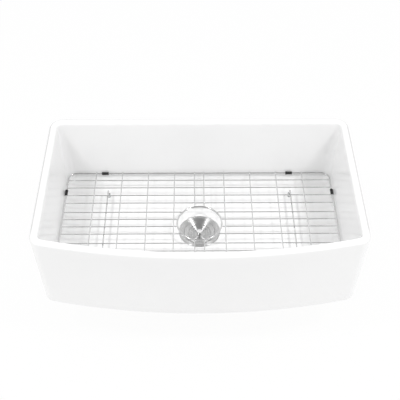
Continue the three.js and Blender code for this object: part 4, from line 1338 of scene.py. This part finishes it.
punch = bmesh.new()
for ring in range(HOLE_RINGS):
    holes = FIRST_HOLES + MORE_HOLES * ring
    reach = FIRST_RING + RING_PITCH * ring
    for i in range(holes):
        angle = 2 * math.pi * (i + ring / 2) / holes
        x = DRAIN_AXIS.x + reach * math.cos(angle)
        y = DRAIN_AXIS.y + reach * math.sin(angle)
        spot = Matrix.Translation((x, y, dish_height(reach)))
        bmesh.ops.create_cone(punch, cap_ends=True, segments=HOLE_SIDES, radius1=HOLE_RADIUS,
                              radius2=HOLE_RADIUS, depth=2 * DISH_DEPTH, matrix=spot)
punch_mesh = bpy.data.meshes.new("hole_punch")
punch.to_mesh(punch_mesh)
punch.free()
punch_object = into_scene("hole_punch", punch_mesh)
cut = dish.modifiers.new("punched_holes", "BOOLEAN")
cut.operation = "DIFFERENCE"
cut.object = punch_object
cut.solver = "EXACT"
bpy.context.view_layer.update()
punched = bpy.data.meshes.new_from_object(dish.evaluated_get(bpy.context.evaluated_depsgraph_get()))
dish.modifiers.clear()
dish.data = punched
dish.data.set_sharp_from_angle(angle=SHARP_EDGE)
bpy.data.objects.remove(punch_object)
print("dish faces after punching", len(dish.data.polygons))

# %% The post
POST_RADIUS = 4 * MM
COLLAR_HEIGHT = 2 * MM

post_low, post_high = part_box("basket_post")
post_collar = half_size("basket_post").x
stopper_low, stopper_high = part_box("basket_stopper")


def collar(low):
    """The post's profile round a collar that holds a piece, from below it to above it."""
    high = low + COLLAR_HEIGHT
    return [
        (POST_RADIUS, low), (post_collar, low, SOFT_EDGE),
        (post_collar, high, SOFT_EDGE), (POST_RADIUS, high)]


post_profile = rounded([
    (0, post_low.z), (POST_RADIUS, post_low.z, SOFT_EDGE), *collar(stopper_high.z + CLEARANCE),
    *collar(dish_floor + CLEARANCE), (POST_RADIUS, post_high.z), (0, post_high.z)])
turned("stopper_post", post_profile, "basket_post", drawn_tube, sides=TURNED_SIDES // 2)
print("post's length, mm", round(1000 * (post_high.z - post_low.z)))

# %% The knob
KNOB_UNDERCUT = 2.2 * MM
KNOB_ROUND = 1 * MM

knob_low, knob_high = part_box("basket_knob")
knob_radius = half_size("basket_knob").x
socket_top = post_high.z + CLEARANCE
knob_profile = rounded([
    (POST_BORE, knob_low.z), (knob_radius - KNOB_UNDERCUT, knob_low.z, KNOB_ROUND / 2),
    (knob_radius, knob_low.z + KNOB_UNDERCUT, KNOB_ROUND), (knob_radius, knob_high.z, KNOB_ROUND),
    (0, knob_high.z), (0, socket_top), (POST_BORE, socket_top)])
turned("lift_knob", knob_profile, "basket_knob", buffed_steel)
print("knob, mm across", round(2000 * knob_radius))

# %% The stopper
STOPPER_SKIRT = 3 * MM
STOPPER_SHOULDER = 10 * MM

stopper_radius = half_size("basket_stopper").x
skirt_middle = stopper_low.z + STOPPER_SKIRT / 2
stopper_profile = rounded([
    (POST_BORE, stopper_low.z), (stopper_radius - STOPPER_SKIRT / 2, stopper_low.z, 2 * SOFT_EDGE),
    (stopper_radius, skirt_middle, SOFT_EDGE), (stopper_radius, stopper_low.z + STOPPER_SKIRT, SOFT_EDGE),
    (STOPPER_SHOULDER, stopper_high.z, 5 * SOFT_EDGE), (POST_BORE, stopper_high.z)])
turned("rubber_stopper", stopper_profile, "basket_stopper", rubber)
print("stopper, mm across", round(2000 * stopper_radius))

# %% [markdown]
# ## The sizes
# The dressed model must fill the same box as the working model.
